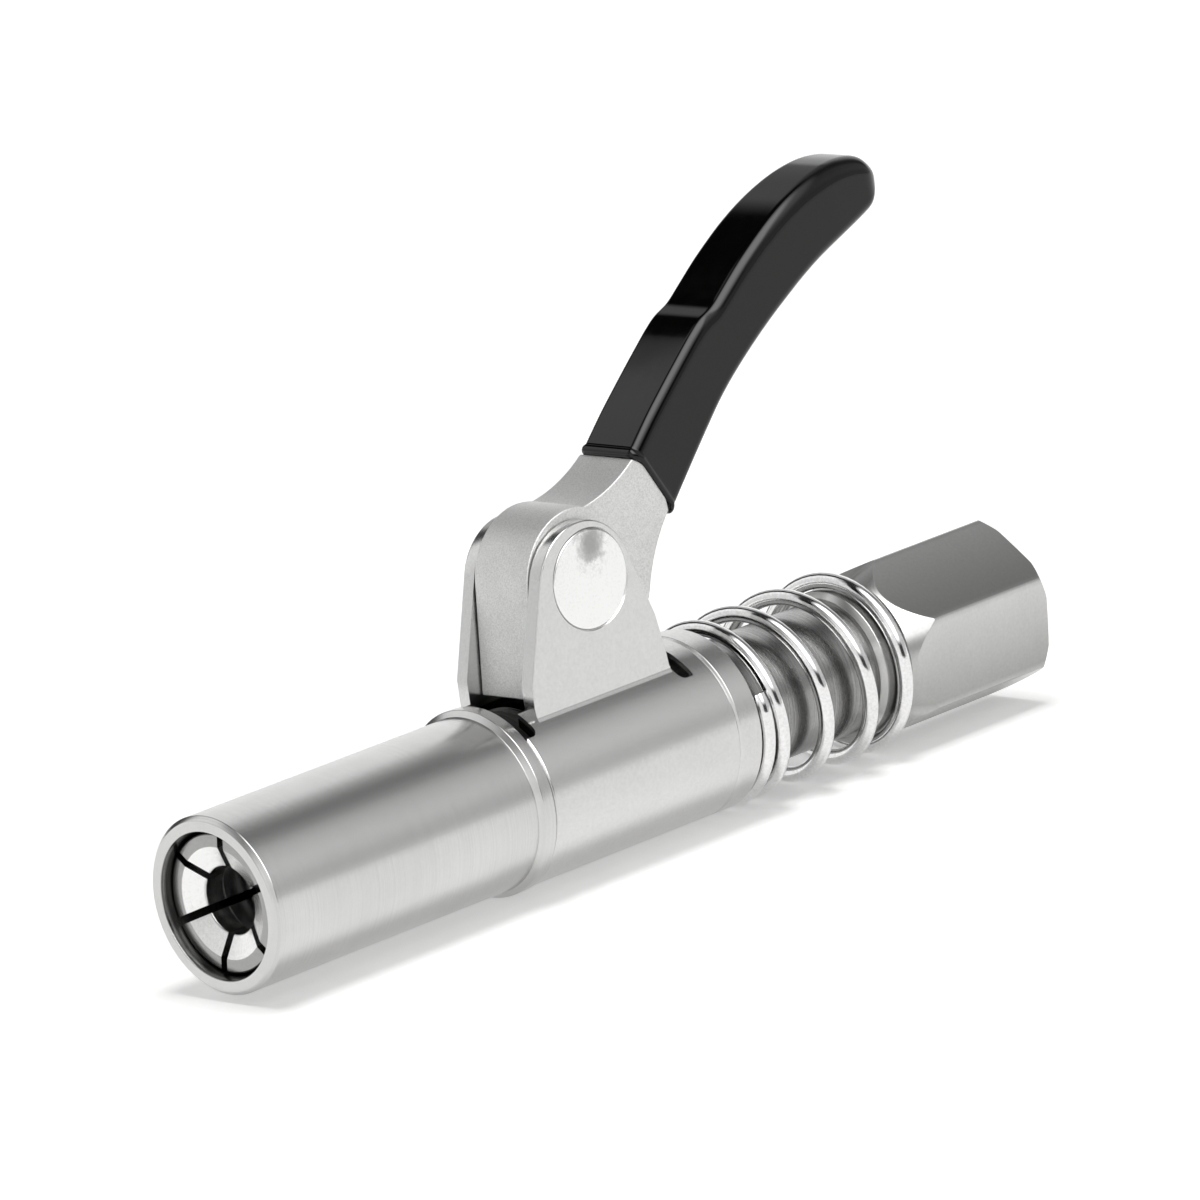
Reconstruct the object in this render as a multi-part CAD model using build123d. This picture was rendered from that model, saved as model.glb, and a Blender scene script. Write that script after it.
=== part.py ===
from build123d import *

import os
from math import acos, atan2, cos, degrees, hypot, radians, sin, sqrt, tan

# Grease coupler with six locking jaws and a thumb lever, in millimetres.
# The origin is the centre of the hose port's mouth. +X points out of that port, the nose looks
# towards -X, and the lever stands on the +Z side.
# The core (hex body, jaw holder, jaws, valve and seal) is what the hose carries.
# The sleeve (nose sleeve, yoke, collar, pivot pin) slides back over it when the lever is pressed.

# hex body
hex_flats = 15.0
hex_length = 18.3
hex_turn = 36.5
hex_end_drop = 1.25
hex_end_chamfer = 1.35
hex_front_angle = 19.0
neck_radius = 7.2
neck_length = 3.5
stem_radius = 6.4
port_radius = 4.3
port_depth = 11.0
port_mouth_radius = 4.7
passage_radius = 1.5

# main spring
wire_diameter = 1.5
wire_side_count = 8
spring_radius = 8.8
spring_length = 20.7
closed_pitch = 1.55
front_closed_turns = 1.0
active_turns = 2.82
rear_closed_turns = 0.8
spring_step_count = 12
spring_start_angle = 70.0

# rear collar, which carries the spring
collar_length = 3.1
collar_spigot = 1.9
stop_ring_radius = 7.0
stop_ring_thickness = 0.9
stop_groove_depth = 0.8

# yoke
yoke_radius = 8.6
yoke_length = 23.5
yoke_bore = 7.2
thread_radius = 7.5
ear_gap = 7.1
ear_thickness = 1.43
ear_round = 5.75
ear_round_back = 0.6
ear_front_foot = 8.85
ear_rear_foot = 8.0
slot_length = 21.3
relief_half_width = 6.0
front_relief = 1.6
rear_relief = 1.6
crease_radius = 0.8

# nose sleeve
nose_radius = 8.2
nose_length = 32.0
nose_mouth_radius = 6.8
nose_bore = 6.6
flange_radius = 8.75
flange_length = 1.9
spigot_length = 4.0
land_length = 0.8

# jaws
jaw_count = 6
jaw_turn = 39.5
jaw_recess = 1.0
jaw_length = 23.0
jaw_head_radius = 6.4
jaw_head_length = 0.6
jaw_taper = 15.0
jaw_land_radius = 5.75
jaw_waist_radius = 5.0
jaw_tail_radius = 5.9
jaw_slot = 0.75
throat_radius = 3.1
funnel_radius = 5.2
funnel_depth = 1.0
lip_length = 2.0
cavity_radius = 3.8
jaw_tail_length = 7.0
jaw_hinge_back = 1.5
band_width = 1.2
band_depth = 0.6
band_thickness = 0.9

# jaw holder
flange_of_holder = 4.75
flange_of_holder_length = 1.6
holder_neck_radius = 3.9
disc_radius = 6.55
disc_length = 4.7
holder_thread_radius = 4.2
holder_thread_length = 5.0

# seal, feed tube and valve
seal_set_back = 6.4
seal_radius = 2.98
seal_length = 4.6
seal_hole_radius = 0.9
cup_radius = 3.6
cup_floor = 1.2
tube_radius = 2.0
tube_hole_radius = 1.0
tube_flange_radius = 2.8
tube_flange_length = 1.0
o_ring_section = 1.1
o_ring_side_count = 6
valve_bore = 2.95
ball_radius = 2.5
valve_web = 2.2
valve_wire = 0.5
valve_coil_radius = 1.9
valve_spring_turns = 3.5
valve_wire_side_count = 5

# pivot, lever and grip
pivot_height = 17.78
pivot_from_front = 11.42
pin_radius = 4.55
lever_width = 6.8
hub_radius = 6.4
heel_radius = 9.2
cam_radius = 12.2
cam_lead = 1.5
sleeve_travel = 4.2
waist_radius = 3.9
waist_length = 5.65
foot_reach = 7.4
joint_front = (8.55, 8.72)
joint_angle = 32.2
joint_length = 6.76
grip_width = 7.0
grip_proud_front = 0.3
grip_proud_rear = 0.75
grip_tip_round = 2.2
grip_wall = 1.0
grip_edge_round = 1.0
edge_round = 0.4

# clearances
running_gap = 0.05
seat_gap = 0.3
band_gap = 0.1
touch = 0.02

# stations along X, worked forward from the hose end
hex_front = -hex_length
neck_front = hex_front - neck_length
collar_rear = hex_front - spring_length
collar_front = collar_rear - collar_length
yoke_front = collar_front - yoke_length
flange_front = yoke_front - flange_length
nose_face = flange_front - nose_length
pivot_x = yoke_front + pivot_from_front
slot_end = yoke_front + slot_length
cam_wall = pivot_x - cam_lead
waist_end = cam_wall + waist_length
jaw_front = nose_face + jaw_recess
jaw_rear = jaw_front + jaw_length
jaw_hinge = jaw_rear - jaw_hinge_back
disc_front = jaw_rear + seat_gap
disc_rear = disc_front + disc_length
neck_of_holder_front = disc_front - jaw_tail_length / 2 - touch
holder_front = neck_of_holder_front - flange_of_holder_length
holder_rear = disc_rear + holder_thread_length
stop_ring_rear = collar_front - collar_spigot - touch
seat_rear = cam_wall - valve_web
ball_x = seat_rear + passage_radius - ball_radius * sqrt(2) - touch
counterbore_front = disc_rear - 1.4
tube_rear = counterbore_front + touch + tube_flange_length
seal_front = jaw_front + seal_set_back
cup_bottom = seal_front + seal_length
corner_radius = hex_flats / 2 / cos(radians(30))
ear_outer = ear_gap / 2 + ear_thickness


# turned solid about X from (station, radius) points
def turned(*points):
    return revolve(Plane.XZ * make_face(Polyline(*points, close=True)), Axis.X)


def cylinder_along_x(start, end, radius):
    return turned((start, 0), (end, 0), (end, radius), (start, radius))


# flat plate of an XZ outline, centred on the lever's plane
def plate(face, width):
    return extrude(Plane.XZ * face, width / 2, both=True)


# ring about X whose round section is cut to flats
def ring_of_wire(station, centre_radius, section_radius, flats):
    return revolve(Plane.XZ * Pos(station, centre_radius) * RegularPolygon(section_radius, flats), Axis.X)


# ring cut square to X
def washer(start, end, inner, outer):
    return turned((start, inner), (end, inner), (end, outer), (start, outer))


# point where the tangent from an outside point touches a circle, on the chosen side
def tangent_point(centre, radius, point, side):
    away_x = point[0] - centre[0]
    away_z = point[1] - centre[1]
    angle = atan2(away_z, away_x) + side * acos(radius / hypot(away_x, away_z))
    return (centre[0] + radius * cos(angle), centre[1] + radius * sin(angle))


# wire swept along a path, its round section cut to flats so that a long coil stays light
def wire_along(path, wire, flats):
    section = Plane(origin=path @ 0, z_dir=path % 0) * RegularPolygon(wire / 2, flats)
    return sweep(section, path=path, is_frenet=True)


# hex body: hex with the hose port, neck under the spring, stem, waist for the lever's toe
def make_hex_body():
    face_radius = corner_radius - hex_end_drop
    taper_length = (corner_radius + 0.1 - hex_flats / 2) / tan(radians(hex_front_angle))
    hexagon = Plane.YZ * RegularPolygon(hex_flats / 2, 6, major_radius=False, rotation=hex_turn)
    prism = Pos(hex_front, 0, 0) * extrude(hexagon, hex_length)
    envelope = turned(
        (hex_front, 0),
        (0, 0),
        (0, face_radius),
        (-hex_end_chamfer, corner_radius + 0.1),
        (hex_front + taper_length, corner_radius + 0.1),
        (hex_front, hex_flats / 2),
    )
    stem = turned(
        (disc_rear, 0),
        (hex_front, 0),
        (hex_front, neck_radius),
        (neck_front + 0.4, neck_radius),
        (neck_front, stem_radius),
        (waist_end, stem_radius),
        (waist_end, waist_radius),
        (cam_wall, waist_radius),
        (cam_wall, stem_radius),
        (disc_rear, stem_radius),
    )
    groove = washer(
        stop_ring_rear - stop_ring_thickness - touch,
        stop_ring_rear + touch,
        stem_radius - stop_groove_depth,
        stem_radius + 1,
    )
    port = turned(
        (-port_depth - port_radius / 2, 0),
        (0, 0),
        (0, port_mouth_radius),
        (port_radius - port_mouth_radius, port_radius),
        (-port_depth, port_radius),
    )
    bore = turned(
        (disc_rear, 0),
        (-port_depth, 0),
        (-port_depth, passage_radius),
        (seat_rear, passage_radius),
        (seat_rear - valve_bore + passage_radius, valve_bore),
        (holder_rear + seat_gap, valve_bore),
        (holder_rear + seat_gap, holder_thread_radius),
        (disc_rear, holder_thread_radius),
    )
    return (prism & envelope) + stem - groove - port - bore


def make_stop_ring():
    inner = stem_radius - stop_groove_depth + touch
    ring = washer(stop_ring_rear - stop_ring_thickness, stop_ring_rear, inner, stop_ring_radius)
    gap = Pos(stop_ring_rear, 0, -stop_ring_radius) * Box(3 * stop_ring_thickness, 3.0, stop_ring_radius)
    return ring - gap


# main spring: closed turns at both ends and open turns between, from the collar to the hex;
# its angle runs from +Z towards -Y
def make_main_spring():
    radius = spring_radius - wire_diameter / 2
    turns = front_closed_turns + active_turns + rear_closed_turns
    closed_length = (front_closed_turns + rear_closed_turns) * closed_pitch
    open_pitch = (spring_length - wire_diameter - closed_length) / active_turns
    steps = round(turns * spring_step_count)
    points = []
    for step in range(steps + 1):
        turn = turns * step / steps
        opened = min(max(turn - front_closed_turns, 0), active_turns)
        station = collar_rear + wire_diameter / 2 + opened * open_pitch + (turn - opened) * closed_pitch
        angle = radians(spring_start_angle + 360 * turn)
        points.append((station, -radius * sin(angle), radius * cos(angle)))
    return wire_along(Spline(*points), wire_diameter, wire_side_count)


# rear collar: screwed into the yoke, slides on the stem and carries the spring
def make_rear_collar():
    inner = stem_radius + running_gap
    return turned(
        (collar_front - collar_spigot, inner),
        (collar_rear, inner),
        (collar_rear, yoke_radius - 0.4),
        (collar_rear - 0.4, yoke_radius),
        (collar_front + 0.25, yoke_radius),
        (collar_front, yoke_radius - 0.25),
        (collar_front, thread_radius),
        (collar_front - collar_spigot, thread_radius),
    )


# nose sleeve: closing cone at the mouth, bore over the jaws, flange and threaded spigot
def make_nose_sleeve():
    slope = tan(radians(jaw_taper))
    cone_start = jaw_front + jaw_head_length - (nose_mouth_radius - jaw_head_radius - running_gap) / slope
    land_radius = jaw_land_radius + running_gap
    cone_end = cone_start + (nose_mouth_radius - land_radius) / slope
    relief_start = cone_end + land_length
    return turned(
        (nose_face, nose_mouth_radius),
        (cone_start, nose_mouth_radius),
        (cone_end, land_radius),
        (relief_start, land_radius),
        (relief_start + nose_bore - land_radius, nose_bore),
        (yoke_front + spigot_length, nose_bore),
        (yoke_front + spigot_length, thread_radius),
        (yoke_front, thread_radius),
        (yoke_front, flange_radius - 0.3),
        (yoke_front - 0.3, flange_radius),
        (flange_front + 0.4, flange_radius),
        (flange_front, nose_radius),
        (nose_face + 0.4, nose_radius),
        (nose_face, nose_radius - 0.4),
    )


# side outline of an ear: a round top, and straight edges down to a wide foot
def ear_outline():
    top = (pivot_x - ear_round_back, pivot_height - 0.3)
    front_foot = (pivot_x - ear_front_foot, yoke_radius + 1.4)
    rear_foot = (pivot_x + ear_rear_foot - 0.7, yoke_radius + 3.9)
    front_touch = tangent_point(top, ear_round, front_foot, -1)
    rear_touch = tangent_point(top, ear_round, rear_foot, 1)
    crown = (top[0], top[1] + ear_round)
    lines = [
        ThreePointArc(front_touch, crown, rear_touch),
        Polyline(
            rear_touch,
            rear_foot,
            (pivot_x + ear_rear_foot, yoke_radius),
            (pivot_x + ear_rear_foot + 0.5, yoke_bore / 2),
            (pivot_x - ear_front_foot + 0.2, yoke_bore / 2),
            (pivot_x - ear_front_foot, yoke_radius - 0.6),
            front_foot,
            front_touch,
        ),
    ]
    return make_face(Wire(Curve() + lines))


# yoke: slotted tube with two ears, relief cuts at both ends of the slot
def make_yoke():
    tube = cylinder_along_x(yoke_front, collar_front, yoke_radius)
    ears = plate(ear_outline(), 2 * ear_outer)
    body = tube + ears
    creases = body.edges().filter_by(Axis.X).filter_by(lambda e: abs(abs(e.center().Y) - ear_outer) < 0.01)
    body = fillet(creases.filter_by(lambda e: e.center().Z > 0), crease_radius)
    rims = ears_rim(body)
    body = chamfer(rims, 0.25) if rims else body
    bore = turned(
        (yoke_front, 0),
        (collar_front, 0),
        (collar_front, thread_radius),
        (collar_front - collar_spigot, thread_radius),
        (collar_front - collar_spigot, yoke_bore),
        (yoke_front + spigot_length, yoke_bore),
        (yoke_front + spigot_length, thread_radius),
        (yoke_front, thread_radius),
    )
    top = pivot_height + 2 * ear_round
    slot = Pos((yoke_front + slot_end) / 2, 0, top / 2) * Box(slot_length, ear_gap, top)
    pin_hole = Pos(pivot_x, 0, pivot_height) * Rot(90, 0, 0) * Cylinder(pin_radius + touch, 4 * ear_gap)
    reliefs = [relief_cut(yoke_front, front_relief), relief_cut(slot_end, -rear_relief)]
    return body - bore - slot - reliefs - pin_hole


# rim edges of the ears' outer faces
def ears_rim(body):
    def on_outer_face(edge):
        middle = edge.center()
        flat = all(abs(abs(v.Y) - ear_outer) < 0.01 for v in edge.vertices())
        return flat and middle.Z > yoke_radius + 0.5

    return body.edges().filter_by(on_outer_face)


# cross cut through the top of the tube, with rounded corners inside the wall
def relief_cut(edge_x, length):
    sketch = Pos(edge_x, 0) * Rectangle(2 * abs(length), 2 * relief_half_width)
    block = fillet(extrude(sketch, 2 * yoke_radius).edges().filter_by(Axis.Z), abs(length) * 0.45)
    keep = Pos(edge_x + length / 2, 0, 0) * Box(abs(length), 4 * yoke_radius, 6 * yoke_radius)
    return Pos(0, 0, yoke_bore * 0.62) * (block & keep)


def make_pivot_pin():
    pin = Rot(90, 0, 0) * Cylinder(pin_radius, 2 * ear_outer)
    return Pos(pivot_x, 0, pivot_height) * chamfer(pin.edges(), 0.25)


# a point of the lever, given from the pivot
def from_pivot(along, up):
    return (pivot_x + along, pivot_height + up)


# point of the toe's working flank: the involute of the cam circle, so that the toe pushes the
# waist's flat wall by cam_radius times the angle that the lever has turned
def flank_point(angle):
    reach = cam_lead + cam_radius * angle
    return from_pivot(
        cam_radius * sin(angle) - reach * cos(angle),
        -cam_radius * cos(angle) - reach * sin(angle),
    )


# a point by the joint line where the grip meets the arm: along it from the front, and beyond it
def from_joint(along, beyond):
    down = radians(joint_angle)
    return from_pivot(
        joint_front[0] + along * sin(down) + beyond * cos(down),
        joint_front[1] - along * cos(down) + beyond * sin(down),
    )


# grip outline from the pivot: a front with a shallow thumb step, a round tip and a hollow back
def grip_outline():
    front_root = from_joint(-grip_proud_front, 0)
    front_end = from_pivot(40.6, 28.5)
    rear_end = from_pivot(41.9, 23.0)
    rear_root = from_joint(joint_length + grip_proud_rear, 0)
    lower = ThreePointArc(front_root, from_pivot(14.3, 14.5), from_pivot(19.9, 18.75))
    step = TangentArc(from_pivot(19.9, 18.75), from_pivot(21.9, 20.25), tangent=lower % 1)
    upper = TangentArc(from_pivot(21.9, 20.25), front_end, tangent=step % 1)
    back = ThreePointArc(rear_end, from_pivot(25.5, 14.75), rear_root)
    round_tip = Spline(
        front_end,
        from_pivot(43.35, 27.6),
        from_pivot(44.4, 25.6),
        from_pivot(43.6, 23.8),
        rear_end,
        tangents=[upper % 1, back % 0],
    )
    return make_face(Wire([lower, step, upper, round_tip, back, Line(rear_root, front_root)]))


# lever outline up to the grip: hub, foot, cam toe, heel and the root of the arm
def arm_outline():
    front_root = from_joint(0, 0)
    rear_root = from_joint(joint_length, 0)
    hub_top = from_pivot(1.9, sqrt(hub_radius**2 - 1.9**2))
    foot_floor = yoke_radius - 0.3
    foot = (pivot_x - foot_reach, foot_floor)
    hub_front = tangent_point((pivot_x, pivot_height), hub_radius, foot, -1)
    hub_crown = from_pivot(-hub_radius * cos(radians(45)), hub_radius * sin(radians(45)))
    flank_x = flank_point(0)[0]
    corner = 1.4
    last_angle = sleeve_travel / cam_radius + 0.03
    flank = [flank_point(last_angle * i / 4) for i in range(5)]
    tip = flank[-1]
    toe_rear = from_pivot(2.7, tip[1] - pivot_height + 0.9)
    heel_low = from_pivot(heel_radius * sin(radians(30)), -heel_radius * cos(radians(30)))
    heel_mid = from_pivot(heel_radius * sin(radians(50)), -heel_radius * cos(radians(50)))
    heel_high = from_pivot(heel_radius * sin(radians(68)), -heel_radius * cos(radians(68)))
    lines = [
        ThreePointArc(hub_top, hub_crown, hub_front),
        Line(hub_front, foot),
        Line(foot, (flank_x - corner, foot_floor)),
        ThreePointArc(
            (flank_x - corner, foot_floor),
            (flank_x - corner * (1 - sin(radians(45))), foot_floor - corner * (1 - cos(radians(45)))),
            (flank_x, foot_floor - corner),
        ),
        Line((flank_x, foot_floor - corner), flank[0]),
        Spline(*flank),
        ThreePointArc(tip, from_pivot(1.2, tip[1] - pivot_height - 0.1), toe_rear),
        Line(toe_rear, heel_low),
        ThreePointArc(heel_low, heel_mid, heel_high),
        ThreePointArc(heel_high, from_pivot(9.75, -0.4), rear_root),
        Line(rear_root, front_root),
        ThreePointArc(front_root, from_pivot(5.0, 6.85), hub_top),
    ]
    return make_face(Wire(Curve() + lines))


# steel tang inside the grip, a curved strip that starts inside the arm
def make_tang():
    front_root = from_joint(grip_wall, -grip_wall)
    rear_root = from_joint(joint_length - grip_wall, -grip_wall)
    front_end = from_pivot(38.5, 26.6)
    rear_end = from_pivot(39.6, 23.5)
    outline = [
        ThreePointArc(front_root, from_pivot(21.5, 18.5), front_end),
        Line(front_end, rear_end),
        ThreePointArc(rear_end, from_pivot(24.8, 16.0), rear_root),
        Line(rear_root, front_root),
    ]
    return plate(make_face(Wire(outline)), lever_width - 2 * grip_wall)


def make_lever_arm():
    arm = plate(arm_outline(), lever_width)
    side_edges = arm.edges().filter_by(lambda e: abs(abs(e.center().Y) - lever_width / 2) < 0.01)
    seen = [e for e in side_edges if e.length > hub_radius and e.center().Z > yoke_radius]
    arm = fillet([e for e in seen if e.geom_type == GeomType.CIRCLE or e.center().X < pivot_x], edge_round)
    hole = Pos(pivot_x, 0, pivot_height) * Rot(90, 0, 0) * Cylinder(pin_radius + running_gap, 3 * lever_width)
    return arm + make_tang() - hole


def make_lever_grip():
    grip = plate(grip_outline(), grip_width)
    edges = grip.edges().filter_by(lambda e: abs(abs(e.center().Y) - grip_width / 2) < 0.01)
    rounded = fillet([e for e in edges if e.geom_type != GeomType.LINE], grip_edge_round)
    tip_x = rounded.bounding_box().max.X
    plan = Pos(pivot_x, 0) * RectangleRounded(2 * (tip_x - pivot_x), grip_width, grip_tip_round)
    return (rounded & extrude(plan, 3 * pivot_height)) - make_tang()


# jaw holder: front flange that the jaws hook behind, guide disc, threaded spigot
def make_jaw_holder():
    outside = turned(
        (holder_front, 0),
        (holder_rear, 0),
        (holder_rear, holder_thread_radius),
        (disc_rear, holder_thread_radius),
        (disc_rear, disc_radius),
        (disc_front + 0.3, disc_radius),
        (disc_front, disc_radius - 0.3),
        (disc_front, holder_neck_radius),
        (neck_of_holder_front, holder_neck_radius),
        (neck_of_holder_front, flange_of_holder),
        (holder_front, flange_of_holder),
    )
    bore = cylinder_along_x(holder_front, holder_rear, tube_radius + running_gap)
    seat = cylinder_along_x(counterbore_front, holder_rear, tube_flange_radius + 0.2)
    return outside - bore - seat - o_ring_groove()


# groove in the holder's bore for the feed tube's ring
def o_ring_groove():
    middle = counterbore_front - 1.6
    width = o_ring_section + 0.3
    depth = tube_radius + running_gap + o_ring_section
    return washer(middle - width / 2, middle + width / 2, tube_radius, depth)


def make_tube_o_ring():
    centre = tube_radius + running_gap + o_ring_section / 2
    return ring_of_wire(counterbore_front - 1.6, centre, o_ring_section / 2 - touch, o_ring_side_count)


# outline of a jaw from its front face: (distance back, radius)
def jaw_profile():
    slope = tan(radians(jaw_taper))
    taper_end = jaw_head_length + (jaw_head_radius - jaw_land_radius) / slope
    tail_start = jaw_length - jaw_tail_length
    rib_start = neck_of_holder_front + seat_gap - jaw_front
    pocket_start = holder_front - seat_gap - jaw_front
    hinge = jaw_length - jaw_hinge_back
    band_floor = jaw_tail_radius - band_depth
    half_band = band_width / 2 + band_gap
    return [
        (0, funnel_radius),
        (0, jaw_head_radius - 0.2),
        (0.2, jaw_head_radius),
        (jaw_head_length, jaw_head_radius),
        (taper_end, jaw_land_radius),
        (taper_end + 3.0, jaw_waist_radius),
        (tail_start - 2.0, jaw_waist_radius),
        (tail_start, jaw_tail_radius),
        (hinge - half_band, jaw_tail_radius),
        (hinge - half_band, band_floor),
        (hinge + half_band, band_floor),
        (hinge + half_band, jaw_tail_radius),
        (jaw_length, jaw_tail_radius),
        (jaw_length, holder_neck_radius + 0.2),
        (rib_start, holder_neck_radius + 0.2),
        (rib_start, flange_of_holder + 0.25),
        (pocket_start, flange_of_holder + 0.25),
        (pocket_start, cavity_radius),
        (funnel_depth + lip_length + cavity_radius - throat_radius, cavity_radius),
        (funnel_depth + lip_length, throat_radius),
        (funnel_depth, throat_radius),
    ]


# one jaw on the +Z side: a turned ring cut to a sector with parallel saw cuts
def make_jaw():
    ring = Pos(jaw_front, 0, 0) * turned(*jaw_profile())
    half = radians(180 / jaw_count)
    apex = jaw_slot / 2 / sin(half)
    reach = 2 * jaw_tail_radius
    wedge = Polyline(
        (0, apex),
        (reach * tan(half), apex + reach),
        (-reach * tan(half), apex + reach),
        close=True,
    )
    sector = Pos(jaw_front - 1, 0, 0) * extrude(Plane.YZ * make_face(wedge), jaw_length + 2)
    return ring & sector


# elastic band in the groove round the jaws' tails
def make_jaw_band():
    start = jaw_hinge - band_width / 2
    floor = jaw_tail_radius - band_depth
    return washer(start, start + band_width, floor + band_gap, floor + band_thickness)


# soft nozzle seal with a cone for the nipple's nose
def make_nozzle_seal():
    return turned(
        (seal_front, seal_radius * 0.75),
        (seal_front, seal_radius),
        (cup_bottom, seal_radius),
        (cup_bottom, seal_hole_radius),
        (seal_front + 1.3, seal_hole_radius),
    )


def make_seal_cup():
    rim = seal_front + 0.6
    return turned(
        (rim, seal_radius + touch),
        (rim, cup_radius),
        (cup_bottom + cup_floor, cup_radius),
        (cup_bottom + cup_floor, tube_radius + touch),
        (cup_bottom, tube_radius + touch),
        (cup_bottom, seal_radius + touch),
    )


def make_feed_tube():
    return turned(
        (cup_bottom, tube_hole_radius),
        (cup_bottom, tube_radius),
        (tube_rear - tube_flange_length, tube_radius),
        (tube_rear - tube_flange_length, tube_flange_radius),
        (tube_rear, tube_flange_radius),
        (tube_rear, tube_hole_radius),
    )


def make_check_ball():
    return Pos(ball_x, 0, 0) * Sphere(ball_radius)


# valve spring: pushes the ball onto its seat and the feed tube forward
def make_valve_spring():
    start = tube_rear + touch + valve_wire / 2
    reach = ball_radius + valve_wire / 2 + touch
    end = ball_x - sqrt(reach**2 - valve_coil_radius**2)
    pitch = (end - start) / valve_spring_turns
    helix = Pos(start, 0, 0) * Rot(0, 90, 0) * Helix(pitch, end - start, valve_coil_radius)
    return wire_along(helix, valve_wire, valve_wire_side_count)


nodes = {
    "hex_body": make_hex_body(),
    "stop_ring": make_stop_ring(),
    "main_spring": make_main_spring(),
    "rear_collar": make_rear_collar(),
    "nose_sleeve": make_nose_sleeve(),
    "yoke": make_yoke(),
    "pivot_pin": make_pivot_pin(),
    "lever_arm": make_lever_arm(),
    "lever_grip": make_lever_grip(),
    "jaw_holder": make_jaw_holder(),
    "tube_o_ring": make_tube_o_ring(),
    "jaw_band": make_jaw_band(),
    "nozzle_seal": make_nozzle_seal(),
    "seal_cup": make_seal_cup(),
    "feed_tube": make_feed_tube(),
    "check_ball": make_check_ball(),
    "valve_spring": make_valve_spring(),
}
jaw = make_jaw()
for index in range(jaw_count):
    nodes[f"jaw_{index + 1}"] = Rot(jaw_turn + 360 / jaw_count * index, 0, 0) * jaw

os.makedirs("parts", exist_ok=True)
for name, shape in nodes.items():
    solids = shape.solids()
    export_step(solids[0] if len(solids) == 1 else Compound(children=solids), f"parts/{name}.step")
    size = shape.bounding_box().size
    print(f"{name}: {len(solids)} solid, {size.X:.2f} x {size.Y:.2f} x {size.Z:.2f} mm")

print(f"nose face at x = {nose_face:.2f}, pivot at x = {pivot_x:.2f}, z = {pivot_height:.2f}")
print(f"lever turns {degrees(sleeve_travel / cam_radius):.2f} degrees for {sleeve_travel} mm")
print(f"jaw hinge at x = {jaw_hinge:.2f}, jaw front at x = {jaw_front:.2f}, ball at x = {ball_x:.2f}")
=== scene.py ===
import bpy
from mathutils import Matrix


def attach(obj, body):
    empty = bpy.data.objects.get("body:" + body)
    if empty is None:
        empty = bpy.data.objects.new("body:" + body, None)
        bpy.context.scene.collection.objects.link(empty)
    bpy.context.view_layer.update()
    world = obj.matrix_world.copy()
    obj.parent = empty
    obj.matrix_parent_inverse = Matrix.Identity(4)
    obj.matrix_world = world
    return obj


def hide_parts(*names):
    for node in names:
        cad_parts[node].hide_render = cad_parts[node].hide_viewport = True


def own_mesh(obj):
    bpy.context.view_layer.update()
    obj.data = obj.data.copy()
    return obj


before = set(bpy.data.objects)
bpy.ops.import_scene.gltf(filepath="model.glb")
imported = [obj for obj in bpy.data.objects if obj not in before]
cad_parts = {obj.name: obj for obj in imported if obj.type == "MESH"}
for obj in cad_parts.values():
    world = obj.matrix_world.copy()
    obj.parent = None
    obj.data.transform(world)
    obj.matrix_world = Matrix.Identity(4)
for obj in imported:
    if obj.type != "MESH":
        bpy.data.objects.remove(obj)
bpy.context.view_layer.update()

import bmesh
import bpy
import numpy as np
from mathutils import Matrix, Vector

# Grease coupler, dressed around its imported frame. Sizes below are millimetres in the frame's
# own axes: the hose port's mouth is at x = 0 and the nose looks towards -X.
mm = 0.001


# shape helpers

def roundCorners(points, radii, steps=4, closed=True):
    # each corner becomes an arc tangent to its two edges: it starts and ends at
    # radius / tan(half the corner's angle) from the corner, at most 0.48 of an edge, and its
    # centre lies on the bisector
    points = np.asarray(points, float)
    radii = np.broadcast_to(np.asarray(radii, float), points.shape[:-1])
    before = np.roll(points, 1, axis=-2)
    after = np.roll(points, -1, axis=-2)
    if not closed:
        before[..., 0, :] = 2 * points[..., 0, :] - points[..., 1, :]
        after[..., -1, :] = 2 * points[..., -1, :] - points[..., -2, :]
    toBefore = before - points
    toAfter = after - points
    lengthBefore = np.linalg.norm(toBefore, axis=-1, keepdims=True)
    lengthAfter = np.linalg.norm(toAfter, axis=-1, keepdims=True)
    toBefore = toBefore / lengthBefore
    toAfter = toAfter / lengthAfter
    half = np.arccos(np.clip((toBefore * toAfter).sum(-1, keepdims=True), -1, 1)) / 2
    room = 0.48 * np.minimum(lengthBefore, lengthAfter)
    reach = np.minimum(radii[..., None] / np.tan(np.clip(half, 0.02, None)), room)
    radius = reach * np.tan(half)
    first = points + toBefore * reach
    bisector = toBefore + toAfter
    size = np.linalg.norm(bisector, axis=-1, keepdims=True)
    bisector = np.where(size > 1e-6, bisector / np.maximum(size, 1e-6), 0)
    centre = points + bisector * reach / np.maximum(np.cos(half), 1e-6)
    side = np.sign(toBefore[..., :1] * toAfter[..., 1:] - toBefore[..., 1:] * toAfter[..., :1])
    turn = -side * (np.pi - 2 * half) * np.linspace(0, 1, steps + 1)
    spoke = first - centre
    x = spoke[..., :1] * np.cos(turn) - spoke[..., 1:] * np.sin(turn)
    y = spoke[..., :1] * np.sin(turn) + spoke[..., 1:] * np.cos(turn)
    arcs = centre[..., None, :] + np.stack([x, y], -1)
    straight = (radius[..., None] < 1e-5) | (size[..., None] < 1e-6)
    arcs = np.where(straight, points[..., None, :], arcs)
    return arcs.reshape(points.shape[:-2] + (-1, 2))


def walkedAlong(line):
    # the distance of each point from the first, along the line
    return np.r_[0, np.cumsum(np.linalg.norm(np.diff(line, axis=0), axis=1))]


def pointsAt(line, wanted):
    # points at the wanted distances along a line
    return np.stack([np.interp(wanted, walkedAlong(line), line[:, k]) for k in range(2)], -1)


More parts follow.
